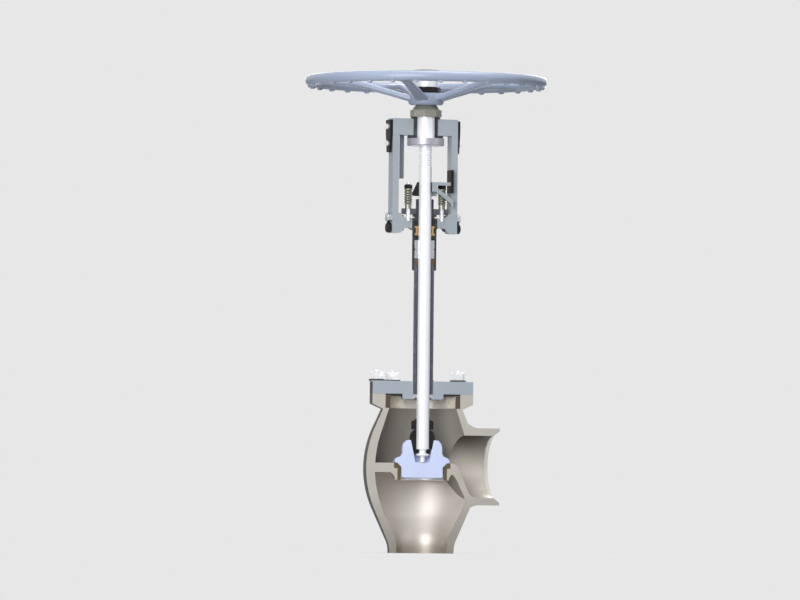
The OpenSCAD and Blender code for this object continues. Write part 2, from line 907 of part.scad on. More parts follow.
// Tapered cleats outside the arms, which tie them to the yoke plate.
module yoke_cleats() {
    color(dark)
    for (side = [0, 1]) mirror([side, 0, 0]) difference() {
        translate([arm_out, 0, 0]) rotate([90, 0, 90]) linear_extrude(cleat_t) polygon([
            [3, cleat_z + cleat_l], [plate_half_w - 3, cleat_z + cleat_l],
            [plate_half_w - 3, cleat_waist_z], [plate_half_w - 10, cleat_z],
            [10, cleat_z], [3, cleat_waist_z]
        ]);
        for (z = cleat_screw_z)
            translate([arm_out - over, plate_half_w / 2, z]) rotate([0, 90, 0])
                cylinder(h = cleat_t + 2 * over, r = screw_d / 2 + slide_gap);
    }
}

// Screws of the cleats.
module cleat_screws() {
    color(steel)
    for (side = [-1, 1], z = cleat_screw_z)
        translate([side * (arm_out + cleat_t), plate_half_w / 2, z]) rotate([0, -side * 90, 0])
            hex_bolt(screw_d / 2, 13, 5, cleat_screw_l - 0.5);
}

// Blank travel scale that hangs from the yoke plate.
module travel_scale() {
    color(steel)
    translate([scale_x, arm_half_w - scale_t, plate_z - scale_l]) cube([scale_w, scale_t, scale_l]);
}

// Bush in the yoke plate, in which the sleeve turns.
module sleeve_bush() {
    color(dark)
    half_turn() eased_section(sleeve_r + run_gap, bush_od / 2, plate_z, plate_t, 0.5);
}

// Thrust ring under the yoke plate.
module thrust_ring_lower() {
    color(dark)
    half_turn() ring_section(sleeve_r + slide_gap, sleeve_flange_d / 2, plate_z - thrust_t, thrust_t);
}

// Thrust ring on top of the yoke plate.
module thrust_ring_upper() {
    color(dark)
    half_turn() ring_section(sleeve_r + slide_gap, bush_od / 2 + 6, plate_top, upper_ring_t);
}

// Yoke sleeve: the flange takes the thrust and the long neck carries the wheel.
module yoke_sleeve() {
    color(bright)
    difference() {
        rotate_extrude() polygon([
            [stem_r + thread_gap + 1.5, sleeve_foot], [sleeve_flange_d / 2 - 2, sleeve_foot],
            [sleeve_flange_d / 2, sleeve_foot + 2], [sleeve_flange_d / 2, sleeve_flange_top],
            [sleeve_r, sleeve_flange_top], [sleeve_r, sleeve_top - 1.5], [sleeve_r - 1.5, sleeve_top],
            [stem_r + thread_gap, sleeve_top], [stem_r + thread_gap, sleeve_foot + 1.5]
        ]);
        key_block(0);
    }
}

// The key's outline, grown by gap; it stands half in the sleeve and half in the hub.
module key_block(gap) {
    translate([-key_w / 2 - gap, sleeve_r - key_depth, hub_z + 3])
        cube([key_w + 2 * gap, key_h, key_l]);
}

// Nut that holds the sleeve down, with a cone up to the wheel hub.
module sleeve_nut() {
    body_r = bush_od / 2 + 7;
    color(steel)
    rotate([0, 0, 22.5]) difference() {
        union() {
            translate([0, 0, sleeve_nut_z]) cylinder(h = sleeve_nut_h, r = body_r, $fn = 8);
            translate([0, 0, sleeve_nut_z + sleeve_nut_h])
                cylinder(h = sleeve_nut_cone_h, r1 = body_r - 4, r2 = sleeve_r + 4);
        }
        translate([0, 0, sleeve_nut_z - over])
            cylinder(h = sleeve_nut_h + sleeve_nut_cone_h + 2 * over, r = sleeve_r);
    }
}

// Handwheel: round rim with finger grips, dished spokes and a keyed hub.
module handwheel() {
    color(steel)
    difference() {
        union() {
            rotate_extrude() translate([rim_r, rim_z]) circle(rim_d / 2);
            rotate_extrude() polygon([
                [0, hub_z], [wheel_hub_d / 2 - 6, hub_z], [wheel_hub_d / 2, hub_z + 5],
                [wheel_hub_d / 2, hub_top - 4], [wheel_hub_d / 2 - 4, hub_top], [0, hub_top]
            ]);
            for (k = [0 : spoke_count - 1])
                rotate([0, 0, 90 + k * 360 / spoke_count]) spoke();
            for (k = [0 : grip_count - 1])
                rotate([0, 0, (k + 0.5) * 360 / grip_count])
                    translate([rim_r, 0, rim_z - rim_d / 2 + 3]) rotate([0, 90, 0])
                        cylinder(h = rim_d * 0.55, r = 7, center = true);
        }
        translate([0, 0, hub_z - over]) cylinder(h = wheel_hub_h + 2 * over, r = sleeve_r);
        key_block(0);
    }
}

// One spoke along +X: the side view's dish cut to the plan's taper.
module spoke() {
    reach = rim_r - rim_d / 4;
    root = wheel_hub_d / 2 - 10;
    span = reach - root;
    dish = [
        [0, hub_z + 15], [0.16, hub_top - 3], [0.3, hub_top + 6],
        [0.42, rim_z - 13], [0.58, rim_z - 3], [1, rim_z]
    ];
    intersection() {
        rotate([90, 0, 0]) linear_extrude(2 * spoke_root_w, center = true) polygon([
            for (k = [0 : len(dish) - 1]) [root + dish[k][0] * span, dish[k][1] + spoke_t / 2],
            for (k = [len(dish) - 1 : -1 : 0]) [root + dish[k][0] * span, dish[k][1] - spoke_t / 2]
        ]);
        linear_extrude(2 * rim_z) polygon([
            [root, -spoke_root_w], [root + 0.12 * span, -spoke_w - 4],
            [reach - 0.12 * span, -spoke_w], [reach, -spoke_w - 5],
            [reach, spoke_w + 5], [reach - 0.12 * span, spoke_w],
            [root + 0.12 * span, spoke_w + 4], [root, spoke_root_w]
        ]);
    }
}

// Key between the sleeve and the wheel hub.
module wheel_key() {
    color(steel)
    key_block(0);
}

// Nut on top of the wheel hub.
module wheel_nut() {
    color(dark)
    translate([0, 0, hub_top]) hex_nut(sleeve_r, sleeve_d * 1.5, wheel_nut_h);
}

// Tube round the rising end of the stem.
module protector_tube() {
    color(bright)
    rotate_extrude() ring_section(sleeve_r, protector_od / 2, protector_z, protector_l);
}

// Flat cap that closes the protector tube.
module protector_cap() {
    color(dark)
    rotate_extrude() polygon([
        [0, protector_top - 6], [sleeve_r, protector_top - 6], [sleeve_r, protector_top],
        [cap_d / 2, protector_top], [cap_d / 2, protector_top + cap_t - 1],
        [cap_d / 2 - 1, protector_top + cap_t], [0, protector_top + cap_t]
    ]);
}

// Stem: button, foot, ring groove, long shank and threaded top.
module stem() {
    color(bright)
    rotate_extrude() difference() {
        polygon([
            [0, socket_floor + seat_gap], [button_r, socket_floor + seat_gap], [button_r, stem_foot_z],
            [stem_r - 3, stem_foot_z], [stem_r, stem_foot_z + 3], [stem_r, stem_top_z - 2.5],
            [stem_r - 2.5, stem_top_z], [0, stem_top_z]
        ]);
        translate([split_ring_mid, groove_z]) circle(split_ring_r);
    }
}

// Split ring in the stem's groove; it lifts the disc by its nut.
module split_ring() {
    color(dark)
    half_turn() translate([split_ring_mid, groove_z]) circle(split_ring_r);
}

// Collar on the stem that closes against the backseat when the valve is full open.
module backseat_collar() {
    color(dark)
    half_turn() polygon([
        [stem_r, collar_z], [collar_d / 2 - 2, collar_z], [collar_d / 2, collar_z + 2],
        [collar_d / 2, collar_z + collar_h - collar_cone_h - 2],
        [tube_r - 2, collar_z + collar_h - collar_cone_h], [stem_r, collar_z + collar_h]
    ]);
}

// Disc: pilot, conical seat, flange and hub round a tapered socket.
module disc() {
    color(lavender)
    half_turn() difference() {
        polygon([
            [0, disc_low], [port_r - 5, disc_low], [port_r - 2, disc_low + 3],
            [port_r - 2, seat_cone_z - seat_cone_h - 2], [port_r - 0.5, seat_cone_z - seat_cone_h],
            [port_r + seat_cone_h - 0.5, seat_cone_z], [port_r + seat_cone_h + 1, seat_z + seat_gap + 0.2],
            [disc_d / 2 - 2, seat_z + seat_gap + 0.2], [disc_d / 2, seat_z + 3],
            [disc_d / 2, seat_z + 7], [disc_d / 2 - 4, seat_z + 12], [hub_d / 2 + 4, seat_z + 17],
            [hub_d / 2, seat_z + 24], [hub_d / 2, disc_top - 18], [hub_d / 2 - 3, disc_top - 8],
            [hub_d / 2 - 9, disc_top - 2], [hub_d / 2 - 14, disc_top], [0, disc_top]
        ]);
        polygon([
            [0, socket_floor], [socket_foot_r, socket_floor],
            [socket_d / 2, disc_top + 0.01], [0, disc_top + 0.01]
        ]);
    }
}

// Radius of the disc's socket at a height.
function socket_r(z) =
    socket_foot_r + (socket_d / 2 - socket_foot_r) * (z - socket_floor) / (disc_top - socket_floor);

// Domed nut that closes the socket over the split ring.
module disc_nut() {
    dome_r = socket_d / 2 + 2;
    dome_rise = disc_nut_top - disc_top - 4;
    dome_in = dome_r - stem_r - 3;
    color(dark)
    half_turn() polygon([
        [stem_r + slide_gap, disc_nut_low + slide_gap],
        [socket_r(disc_nut_low) - thread_gap, disc_nut_low + slide_gap],
        [socket_r(disc_top) - thread_gap, disc_top], [dome_r, disc_top],
        for (a = [0 : 22.5 : 90])
            [dome_r - dome_in * (1 - cos(a)), disc_top + 4 + dome_rise * sin(a)],
        [stem_r + slide_gap, disc_nut_top]
    ]);
}

// Guide that keeps the stem from turning: a half cone behind the stem and a lug beside it,
// which carries an arm and a brace past the front of the gland springs to the right yoke arm.
module stem_guide() {
    arm_top = guide_top;
    arm_low = arm_top - guide_arm_w;
    brace_x = arm_x - brace_w;
    color(dark)
    difference() {
        union() {
            kept_half() {
                translate([0, 0, guide_low]) cylinder(h = guide_foot_h, r = guide_r);
                translate([0, 0, guide_low + guide_foot_h])
                    cylinder(h = guide_h - guide_foot_h, r1 = guide_r, r2 = guide_tip_r);
            }
            translate([stem_r - 4, guide_plate_y, arm_low - 2 * guide_arm_w])
                cube([lug_w, lug_back - guide_plate_y, 3 * guide_arm_w]);
            translate([0, guide_plate_y, 0]) rotate([90, 0, 0]) mirror([0, 0, 1])
                linear_extrude(guide_plate_t) {
                    translate([stem_r, arm_low]) square([slider_x - stem_r, guide_arm_w]);
                    polygon([
                        [stem_r, arm_low + 1], [stem_r, arm_low - 1.4 * brace_w],
                        [brace_x, brace_low + brace_w], [brace_x, brace_low],
                        [arm_x - slide_gap, brace_low], [arm_x - slide_gap, brace_low + 2 * brace_w]
                    ]);
                }
        }
        translate([0, 0, guide_low - over]) cylinder(h = guide_h + 2 * over, r = stem_r);
        at_guide_screws() cylinder(h = guide_r, r = guide_screw_r + slide_gap);
    }
}

// Slider that runs along the right yoke arm.
module guide_slider() {
    color(dark)
    translate([slider_x, guide_plate_y, slider_low])
        cube([slider_t - slide_gap, slider_back - guide_plate_y, slider_h]);
}

// Stands a shape on the spot face of each clamp screw, pointing away from the stem.
module at_guide_screws() {
    for (turn = [115, 150])
        rotate([0, 0, turn]) translate([guide_screw_reach, 0, guide_low + guide_foot_h / 2])
            rotate([0, 90, 0]) children();
}

// Screws that close the clamp on the stem.
module guide_screws() {
    color(steel)
    at_guide_screws() difference() {
        cylinder(h = guide_screw_h, r = guide_screw_r);
        translate([0, 0, guide_screw_h - 2.5]) cylinder(h = 2.5 + over, r = guide_screw_r * 0.55, $fn = 6);
    }
}

body();
neck_liner();
seat_ring();
bonnet_gasket();
bonnet_flange();
bonnet_studs();
bonnet_washers();
bonnet_nuts();
extension_tube();
backseat_bush();
stuffing_box();
bottom_ring();
guide_bush();
packing_lower();
lantern_ring();
packing_upper();
gland_follower();
gland_flange();
gland_studs();
gland_springs();
gland_nuts();
yoke_arm_left();
yoke_arm_right();
yoke_plate();
yoke_bolts();
yoke_cleats();
cleat_screws();
travel_scale();
sleeve_bush();
thrust_ring_lower();
thrust_ring_upper();
yoke_sleeve();
sleeve_nut();
handwheel();
wheel_key();
wheel_nut();
protector_tube();
protector_cap();
stem();
split_ring();
backseat_collar();
stem_guide();
guide_slider();
guide_screws();
disc();
disc_nut();
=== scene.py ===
# %% [markdown]
# # An angle globe valve, cut open to show how it works
#
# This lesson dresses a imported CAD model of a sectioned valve. The real one is a
# cast steel body with its front half sawn away, a long bonnet for a hot or cold
# pipe, a stem that a handwheel lifts, and a disc that closes on a seat ring.
# The CAD model already gives every place and size. So a piece either keeps its
# CAD shape and gets a finish, or is woven anew where the CAD solid lies.
# Blender counts in metres, and the sizes below are written in millimetres times MM.

# %% Load the frame
import math

import bmesh
import bpy
import numpy as np
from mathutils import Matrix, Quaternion, Vector


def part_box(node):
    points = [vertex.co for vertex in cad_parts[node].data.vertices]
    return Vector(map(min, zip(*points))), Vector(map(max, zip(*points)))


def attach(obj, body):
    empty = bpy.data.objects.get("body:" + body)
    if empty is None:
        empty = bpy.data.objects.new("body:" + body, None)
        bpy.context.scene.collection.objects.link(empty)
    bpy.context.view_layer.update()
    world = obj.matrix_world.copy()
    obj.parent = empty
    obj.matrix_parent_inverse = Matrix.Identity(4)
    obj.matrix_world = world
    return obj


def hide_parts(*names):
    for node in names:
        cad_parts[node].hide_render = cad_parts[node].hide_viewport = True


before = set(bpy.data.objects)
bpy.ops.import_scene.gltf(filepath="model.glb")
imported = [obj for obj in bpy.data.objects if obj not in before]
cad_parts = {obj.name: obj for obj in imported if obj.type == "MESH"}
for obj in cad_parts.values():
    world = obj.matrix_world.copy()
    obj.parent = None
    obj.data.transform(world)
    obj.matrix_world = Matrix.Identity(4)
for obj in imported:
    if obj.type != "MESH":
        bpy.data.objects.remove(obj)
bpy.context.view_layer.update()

MM = 0.001

# %% [markdown]
# ## Colours and nodes
#
# Colours are written as sRGB hex values, as on a colour card. Blender mixes light
# with linear values, so one function turns the one into the other. A second one
# adds a node with its settings and links, and every material is made with it.
# A third opens an empty material that reads Object coordinates: these are the
# metres of the valve's own frame, so a pattern keeps its real size and place.
# The last two give what most finishes share: a colour in soft clouds, and the
# shader that ends the tree.

# %% Helpers for colours and nodes
def linear(code):
    """sRGB hex to linear RGBA: c/12.92 up to 0.04045, else ((c + 0.055)/1.055)^2.4."""
    c = np.array([int(code[i : i + 2], 16) for i in (1, 3, 5)]) / 255
    c = np.where(c <= 0.04045, c / 12.92, ((c + 0.055) / 1.055) ** 2.4)
    return (*c.tolist(), 1.0)


def add(tree, kind, links=None, **settings):
    """Adds a node to a tree. links maps an input to a value or to another node's output."""
    made = tree.nodes.new("ShaderNode" + kind)
    for key, value in settings.items():
        setattr(made, key, value)
    for key, value in (links or {}).items():
        if isinstance(value, bpy.types.NodeSocket):
            tree.links.new(value, made.inputs[key])
        else:
            made.inputs[key].default_value = value
    return made


def blank(name):
    """A new material with an empty tree, and the Object coordinates to read."""
    made = bpy.data.materials.new(name)
    made.use_nodes = True
    made.node_tree.nodes.clear()
    return made, made.node_tree, add(made.node_tree, "TexCoord").outputs["Object"]


# A Mix node has one set of sockets for each type of value; these are those for colour.
MIX_FACTOR, MIX_A, MIX_B, MIX_OUT = 0, 6, 7, 2
# A full turn. It sets the bands of a Wave texture too: one each TURN / (20 scale) along
# an axis, and one each TURN / (10 scale) of x + y + z where they are diagonal.
TURN = 2 * math.pi


def clouded(tree, place, light, shade, size, detail):
    """Two colours in soft clouds, size millimetres across. Returns the colour and the clouds."""
    cloud = add(tree, "TexNoise", {"Vector": place, "Scale": 1 / (size * MM), "Detail": detail})
    colour = add(
        tree,
        "Mix",
        {MIX_FACTOR: cloud.outputs["Fac"], MIX_A: linear(shade), MIX_B: linear(light)},
        data_type="RGBA",
    )
    return colour.outputs[MIX_OUT], cloud.outputs["Fac"]


def surfaced(made, colour, rough, bump, metal=0.0):
    """Ends a material's tree with one shader, and gives the material back."""
    links = {"Base Color": colour, "Roughness": rough, "Metallic": metal, "Normal": bump.outputs[0]}
    shader = add(made.node_tree, "BsdfPrincipled", links)
    add(made.node_tree, "OutputMaterial", {"Surface": shader.outputs[0]})
    return made


print("white is", linear("#FFFFFF"), "and mid grey", [round(v, 3) for v in linear("#808080")[:3]])

# %% [markdown]
# ## Cast steel, sectioned
#
# The body is one sand casting of carbon steel. Where the saw went through it the
# wall shows a milled face, matt and a little warm. Inside, the bowl was shot
# blasted and lacquered: a fine even grain, with a broad soft shine. Outside, the
# mould skin was painted dark, and the sand's grain still shows through the paint.
# One casting has several finishes then, and each face is given its own.

# %% Finishes of the casting
def over_height(tree, place, colour, other, start, stop):
    """Mixes another colour in: none of it at height start, all of it at stop, in millimetres."""
    height = add(tree, "SeparateXYZ", {0: place})
    span = {"Value": height.outputs["Z"], "From Min": start * MM, "From Max": stop * MM}
    share = add(tree, "MapRange", span)
    mixed = add(
        tree,
        "Mix",
        {MIX_FACTOR: share.outputs[0], MIX_A: colour, MIX_B: linear(other)},
        data_type="RGBA",
    )
    return mixed.outputs[MIX_OUT]


def milled_cut(name, light, shade, rough=0.55, metal=0.1, painted_shade=None):
    """A milled face: clouds 60 mm across, and cutter marks 3 mm apart, ten times the real feed.

    Its last argument is (colour, start, stop): painted shade, a darker colour that
    comes in between two heights.
    """
    made, tree, place = blank(name)
    colour, _ = clouded(tree, place, light, shade, 60, 3.0)
    if painted_shade:
        colour = over_height(tree, place, colour, *painted_shade)
    marks = add(
        tree,
        "TexWave",
        {"Vector": place, "Scale": TURN / (10 * 3 * MM), "Distortion": 1.5, "Detail": 2.0},
        bands_direction="DIAGONAL",
    )
    relief = {"Height": marks.outputs["Fac"], "Strength": 0.08, "Distance": 0.2 * MM}
    return surfaced(made, colour, rough, add(tree, "Bump", relief), metal)


def blasted_bore(name, light, shade, rough=0.42, metal=0.35, painted_shade=None):
    """Shot-blasted and lacquered steel: a grain of 1.5 mm under clouds 90 mm across.

    Its last argument is (colour, start, stop): painted shade, a darker colour that
    comes in between two heights.
    """
    made, tree, place = blank(name)
    colour, cloud = clouded(tree, place, light, shade, 90, 4.0)
    if painted_shade:
        colour = over_height(tree, place, colour, *painted_shade)
    shot = add(tree, "TexNoise", {"Vector": place, "Scale": 1 / (1.5 * MM), "Detail": 2.0})
    relief = {"Height": shot.outputs["Fac"], "Strength": 0.12, "Distance": 0.3 * MM}
    span = {"Value": cloud, "To Min": rough - 0.05, "To Max": rough + 0.05}
    gloss = add(tree, "MapRange", span)
    return surfaced(made, colour, gloss.outputs[0], add(tree, "Bump", relief), metal)


def painted_skin(name, light, shade, rough):
    """Paint over a sand-cast skin: grains of 1.4 mm over shallow hollows of 11 mm."""
    made, tree, place = blank(name)
    colour, _ = clouded(tree, place, light, shade, 50, 4.0)
    hollows = add(tree, "TexNoise", {"Vector": place, "Scale": 1 / (11 * MM), "Detail": 3.0})
    grains = add(tree, "TexVoronoi", {"Vector": place, "Scale": 1 / (1.4 * MM)})
    relief = {"Height": hollows.outputs["Fac"], "Strength": 0.3, "Distance": 0.8 * MM}
    wide = add(tree, "Bump", relief)
    relief = {"Height": grains.outputs["Distance"], "Strength": 0.25, "Distance": 0.3 * MM}
    fine = add(tree, "Bump", {**relief, "Normal": wide.outputs[0]})
    return surfaced(made, colour, rough, fine)


# Painted shade: the milled cut grows darker from 160 mm down to the foot.
cast_cut = milled_cut("cast_steel_milled", "#C6C2B9", "#B2ADA4", painted_shade=("#918B81", 160, 0))
# Painted shade: the bowl's bore grows darker from 95 mm down to 10 mm, in the throat.
cast_bore = blasted_bore(
    "cast_steel_blasted", "#F5F0E8", "#E5DFD6", rough=0.43, metal=0.57, painted_shade=("#9F988E", 95, 10)
)
# Painted shade: the top of the outlet's bore grows darker from 215 mm up to 292 mm.
branch_bore = blasted_bore(
    "cast_steel_branch", "#CFC9C0", "#C0B9AF", metal=0.4, painted_shade=("#3F3A34", 215, 292)
)
# Painted shade: a dark finish for the bridge's underside.
shaded_pocket_bore = blasted_bore("cast_steel_pocket_painted_shade", "#8F8A82", "#7F7A72", rough=0.6, metal=0.2)
# A rougher, less metallic finish whose darker colour is painted shade, for the bowl above the seat.
dull_shaded_bore = blasted_bore("cast_steel_dull_painted_shade", "#B2ADA4", "#9C968D", rough=0.52, metal=0.25)
cast_skin = painted_skin("cast_steel_dark_paint", "#5C5856", "#403D3C", rough=0.6)
liner_cut = milled_cut("liner_alloy_milled", "#5A4A3C", "#44372B")
# Painted light: a near-white colour brightens the liner's bore, which the bonnet flange shades.
liner_bore_painted_light = blasted_bore("liner_alloy_bored_painted_light", "#FFFBF0", "#F7F0E2", rough=0.36, metal=0.5)
# The seat ring's dark olive cut is partly its alloy's colour and partly painted shade.
shaded_seat_cut = milled_cut("seat_alloy_milled_painted_shade", "#655838", "#50452B")
disc_cut = milled_cut("disc_lacquer_milled", "#D7E2FF", "#D1DCFF", rough=0.45, metal=0.0)
disc_side = blasted_bore("disc_lacquer_turned", "#D6DDF6", "#CAD2F0", rough=0.36, metal=0.2)
print("finishes of the castings:", len(bpy.data.materials))

# %% [markdown]
# ## Enamel, oxide, turned steel, bronze and graphite
#
# The rest is machined. A lathe leaves rings that follow the height, so their bump
# is a Wave texture along Z. Black oxide is a thin dark film on steel, worn a
# little lighter in patches, and it still shines. Stoved enamel hides the metal
# under a faint orange peel. Graphite packing is plaited yarn, pressed flat.

# %% Finishes of the machined parts
def enamel(name, light, shade, rough=0.4):
    """Stoved enamel on steel: clouds 120 mm across under an orange peel 3 mm across."""
    made, tree, place = blank(name)
    colour, _ = clouded(tree, place, light, shade, 120, 2.0)
    peel = add(tree, "TexNoise", {"Vector": place, "Scale": 1 / (3 * MM), "Detail": 1.0})
    relief = {"Height": peel.outputs["Fac"], "Strength": 0.04, "Distance": 0.3 * MM}
    return surfaced(made, colour, rough, add(tree, "Bump", relief))


def turned_metal(name, light, shade, rough=0.3, metal=1.0, ring=1.6, depth=0.05):
    """Lathe-turned metal: rings ring mm apart up the height, under clouds 40 mm across."""
    made, tree, place = blank(name)
    colour, _ = clouded(tree, place, light, shade, 40, 3.0)
    rings = add(
        tree,
        "TexWave",
        {"Vector": place, "Scale": TURN / (20 * ring * MM), "Distortion": 0.4, "Detail": 1.0},
        bands_direction="Z",
    )
    relief = {"Height": rings.outputs["Fac"], "Strength": depth, "Distance": 0.1 * MM}
    return surfaced(made, colour, rough, add(tree, "Bump", relief), metal)


def black_oxide(name, light, shade, rough=0.38, metal=0.4):
    """Blackened steel: a dark film worn lighter in patches 15 mm across."""
    made, tree, place = blank(name)
    wear = add(tree, "TexNoise", {"Vector": place, "Scale": 1 / (15 * MM), "Detail": 4.0})
    span = {"Value": wear.outputs["Fac"], "From Min": 0.45, "From Max": 0.75}
    worn = add(tree, "MapRange", span)
    colour = add(
        tree,
        "Mix",
        {MIX_FACTOR: worn.outputs[0], MIX_A: linear(shade), MIX_B: linear(light)},
        data_type="RGBA",
    )
    relief = {"Height": wear.outputs["Fac"], "Strength": 0.05, "Distance": 0.2 * MM}
    return surfaced(made, colour.outputs[MIX_OUT], rough, add(tree, "Bump", relief), metal)


grey_enamel = enamel("yoke_grey_enamel", "#A4ADB3", "#9BA3AB")
flange_enamel = enamel("bonnet_grey_enamel", "#A9B2BB", "#9EA7B1")
flange_edge = enamel("bonnet_dark_enamel", "#1C1E28", "#14151D", rough=0.5)
box_dark = black_oxide("stuffing_box_oxide", "#4B4E55", "#33353A")
tube_oxide = black_oxide("extension_blue_oxide", "#6F727E", "#595C66", rough=0.34, metal=0.5)
zinc = turned_metal("zinc_plated_steel", "#FBFBFC", "#EDEFF2", rough=0.3, metal=0.7)
flange_grey = black_oxide("gland_grey_phosphate", "#686A74", "#54565F")
black_film = black_oxide("phosphated_steel", "#151617", "#0B0B0C", rough=0.5)
turned_bright = turned_metal("turned_stainless_steel", "#D3D7DC", "#BEC3CA", rough=0.32)
ground_stem = turned_metal(
    "ground_stem_steel", "#FBFCFF", "#F2F5FC", rough=0.42, metal=0.3, ring=0.8, depth=0.02
)
bearing_steel = black_oxide("hardened_bearing_steel", "#56595C", "#3A3D40", rough=0.3)
brown_ring = turned_metal("aluminium_bronze_brown", "#7A6450", "#5E4C3C", rough=0.4, metal=0.6)
lantern_bronze = turned_metal("lantern_bronze", "#D8B074", "#C09858", rough=0.36, metal=0.8)
spring_steel = turned_metal("oiled_spring_steel", "#9A9A8E", "#7C7C70", rough=0.36, metal=0.6)
scale_steel = turned_metal("travel_scale_steel", "#8F949D", "#7D828B", rough=0.4, metal=0.4)
sleeve_steel = turned_metal("sleeve_collar_steel", "#B4B2BC", "#9F9DA8", rough=0.36, metal=0.4)
nut_bronze = turned_metal(
    "nickel_bronze", "#A4A499", "#7C7C73", rough=0.4, metal=0.3, ring=9, depth=0.2
)
wheel_enamel = enamel("handwheel_enamel", "#A5B1C8", "#8C97AD", rough=0.3)
graphite = black_oxide("pressed_graphite", "#333437", "#151618", rough=0.5, metal=0.2)
print("finishes in all:", len(bpy.data.materials))

# %% [markdown]
# ## Dressing a CAD solid
#
# A CAD mesh comes as loose triangles, so light breaks at every one of them.
# A copy with its doubles merged and its flat triangles joined is a clean shell
# again. Its long edges then get a small bevel, because no real edge is a knife
# edge, and the bevel is what catches the light. Faces that lie in the plane of
# the saw cut take the second finish, and other faces are picked by a rule.

# %% Copy a CAD solid, finish it, and pick out faces
CUT_SLACK = 0.05  # millimetres within which a face counts as lying in the plane of the cut
CUT_FACING = -0.9  # a normal whose y is below this looks out of the cut
CREASE = math.radians(28)  # a dressed piece has a sharp, bevelled edge where faces meet at more
MERGED, FLAT = 0.002, math.radians(0.4)  # corners merge when nearer, triangles join when flatter


def on_cut(c, n):
    """True on the saw cut: in the plane y = 0 and facing out of it."""
    return (np.abs(c[:, 1]) < CUT_SLACK) & (n[:, 1] < CUT_FACING)


def off_cut(c):
    """True behind the plane of the saw cut."""
    return c[:, 1] > CUT_SLACK


def settle(piece, node, body):
    """Hangs the piece on the empty of the body that carries it, and hides its CAD node."""
    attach(piece, body)
    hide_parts(node)


def dressed(node, finish, cut=None, width=0.6, body="valve", seams=()):
    """A merged copy of a CAD node, bevelled by width millimetres, that replaces the node.

    cut is the finish of its sawn faces. seams are places in x, in millimetres, where flat
    faces are parted so that paint can end there.
    """
    shell = bmesh.new()
    shell.from_mesh(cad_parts[node].data)
    bmesh.ops.remove_doubles(shell, verts=shell.verts, dist=MERGED * MM)
    bmesh.ops.dissolve_limit(shell, angle_limit=FLAT, verts=shell.verts, edges=shell.edges)
    for x in seams:
        everything = [*shell.verts, *shell.edges, *shell.faces]
        bmesh.ops.bisect_plane(shell, geom=everything, plane_co=(x * MM, 0, 0), plane_no=(1, 0, 0))
    mesh = bpy.data.meshes.new(node + "_dressed")
    shell.to_mesh(mesh)
    shell.free()
    mesh.materials.clear()
    mesh.materials.append(finish)
    mesh.shade_smooth()
    mesh.set_sharp_from_angle(angle=CREASE)
    piece = bpy.data.objects.new(node + "_dressed", mesh)
    bpy.context.scene.collection.objects.link(piece)
    bevel = piece.modifiers.new("eased_edges", "BEVEL")
    bevel.width, bevel.segments = width * MM, 2
    bevel.limit_method, bevel.angle_limit = "ANGLE", CREASE
    bevel.harden_normals = True
    settle(piece, node, body)
    if cut is not None:
        paint(piece, cut, on_cut)
    print(piece.name, len(mesh.polygons), "faces")
    return piece


def paint(piece, finish, rule):
    """Gives a finish to the faces whose centre c (mm) and normal n satisfy the rule."""
    faces = piece.data.polygons
    c, n = np.zeros(len(faces) * 3), np.zeros(len(faces) * 3)
    marks = np.zeros(len(faces), np.int32)
    faces.foreach_get("center", c)
    faces.foreach_get("normal", n)
    faces.foreach_get("material_index", marks)
    piece.data.materials.append(finish)
    picked = rule(c.reshape(-1, 3) / MM, n.reshape(-1, 3))
    marks[picked] = len(piece.data.materials) - 1
    faces.foreach_set("material_index", marks)
    print(" ", finish.name, "on", int(picked.sum()), "faces of", piece.name)


# %% [markdown]
# ## A section carried along a path
#
# What a CAD solid can't hold cheaply, such as a thread, the plait of a packing
# ring or the sweep of a cast spoke, is worked out as a grid of points. Each row
# is a closed section, and the rows follow a path. A path that closes makes a
# ring. An open one gets a flat lid at each end, and on a half ring the two lids
# are the faces that the saw left.

# %% Grids of points made into one mesh
def woven(node, courses, finish, cut=None, body="valve", angle=32):
    """Makes a piece from courses of (points, closed).

    points has the shape (rows, columns, 3), in millimetres. Columns always close on
    themselves. Rows close too where closed is true, else each end gets a lid.
    """
    spots, faces, lids, base = [], [], [], 0
    for points, closed in courses:
        rows, columns = points.shape[:2]
        index = base + np.arange(rows * columns).reshape(rows, columns)
        base += rows * columns
        around = np.concatenate([index, index[:, :1]], 1)
        if closed:
            around = np.concatenate([around, around[:1]], 0)
        corners = [around[:-1, :-1], around[:-1, 1:], around[1:, 1:], around[1:, :-1]]
        quads = np.stack(corners, -1).reshape(-1, 4).tolist()
        ends = [] if closed else [index[0, ::-1].tolist(), index[-1].tolist()]
        spots.append(points.reshape(-1, 3))
        faces += quads + ends
        lids += [0] * len(quads) + [1] * len(ends)
    mesh = bpy.data.meshes.new(node + "_woven")
    mesh.from_pydata((np.concatenate(spots) * MM).tolist(), [], faces)
    mesh.materials.append(finish)
    if cut is not None:
        mesh.materials.append(cut)
        mesh.polygons.foreach_set("material_index", np.array(lids, np.int32))
    shell = bmesh.new()
    shell.from_mesh(mesh)
    bmesh.ops.recalc_face_normals(shell, faces=shell.faces)
    shell.to_mesh(mesh)
    shell.free()
    mesh.shade_smooth()
    mesh.set_sharp_from_angle(angle=math.radians(angle))
    piece = bpy.data.objects.new(node + "_woven", mesh)
    bpy.context.scene.collection.objects.link(piece)
    settle(piece, node, body)
    print(piece.name, len(mesh.polygons), "faces")
    return piece


def ring(section, steps=96):
    """Carries a closed (r, z) section round the Z axis: x = r cos a, y = r sin a."""
    a = np.linspace(0, TURN, steps, endpoint=False)[:, None]
    r, z = np.asarray(section, float).T
    return np.stack([r * np.cos(a), r * np.sin(a), z + 0 * a], -1), True


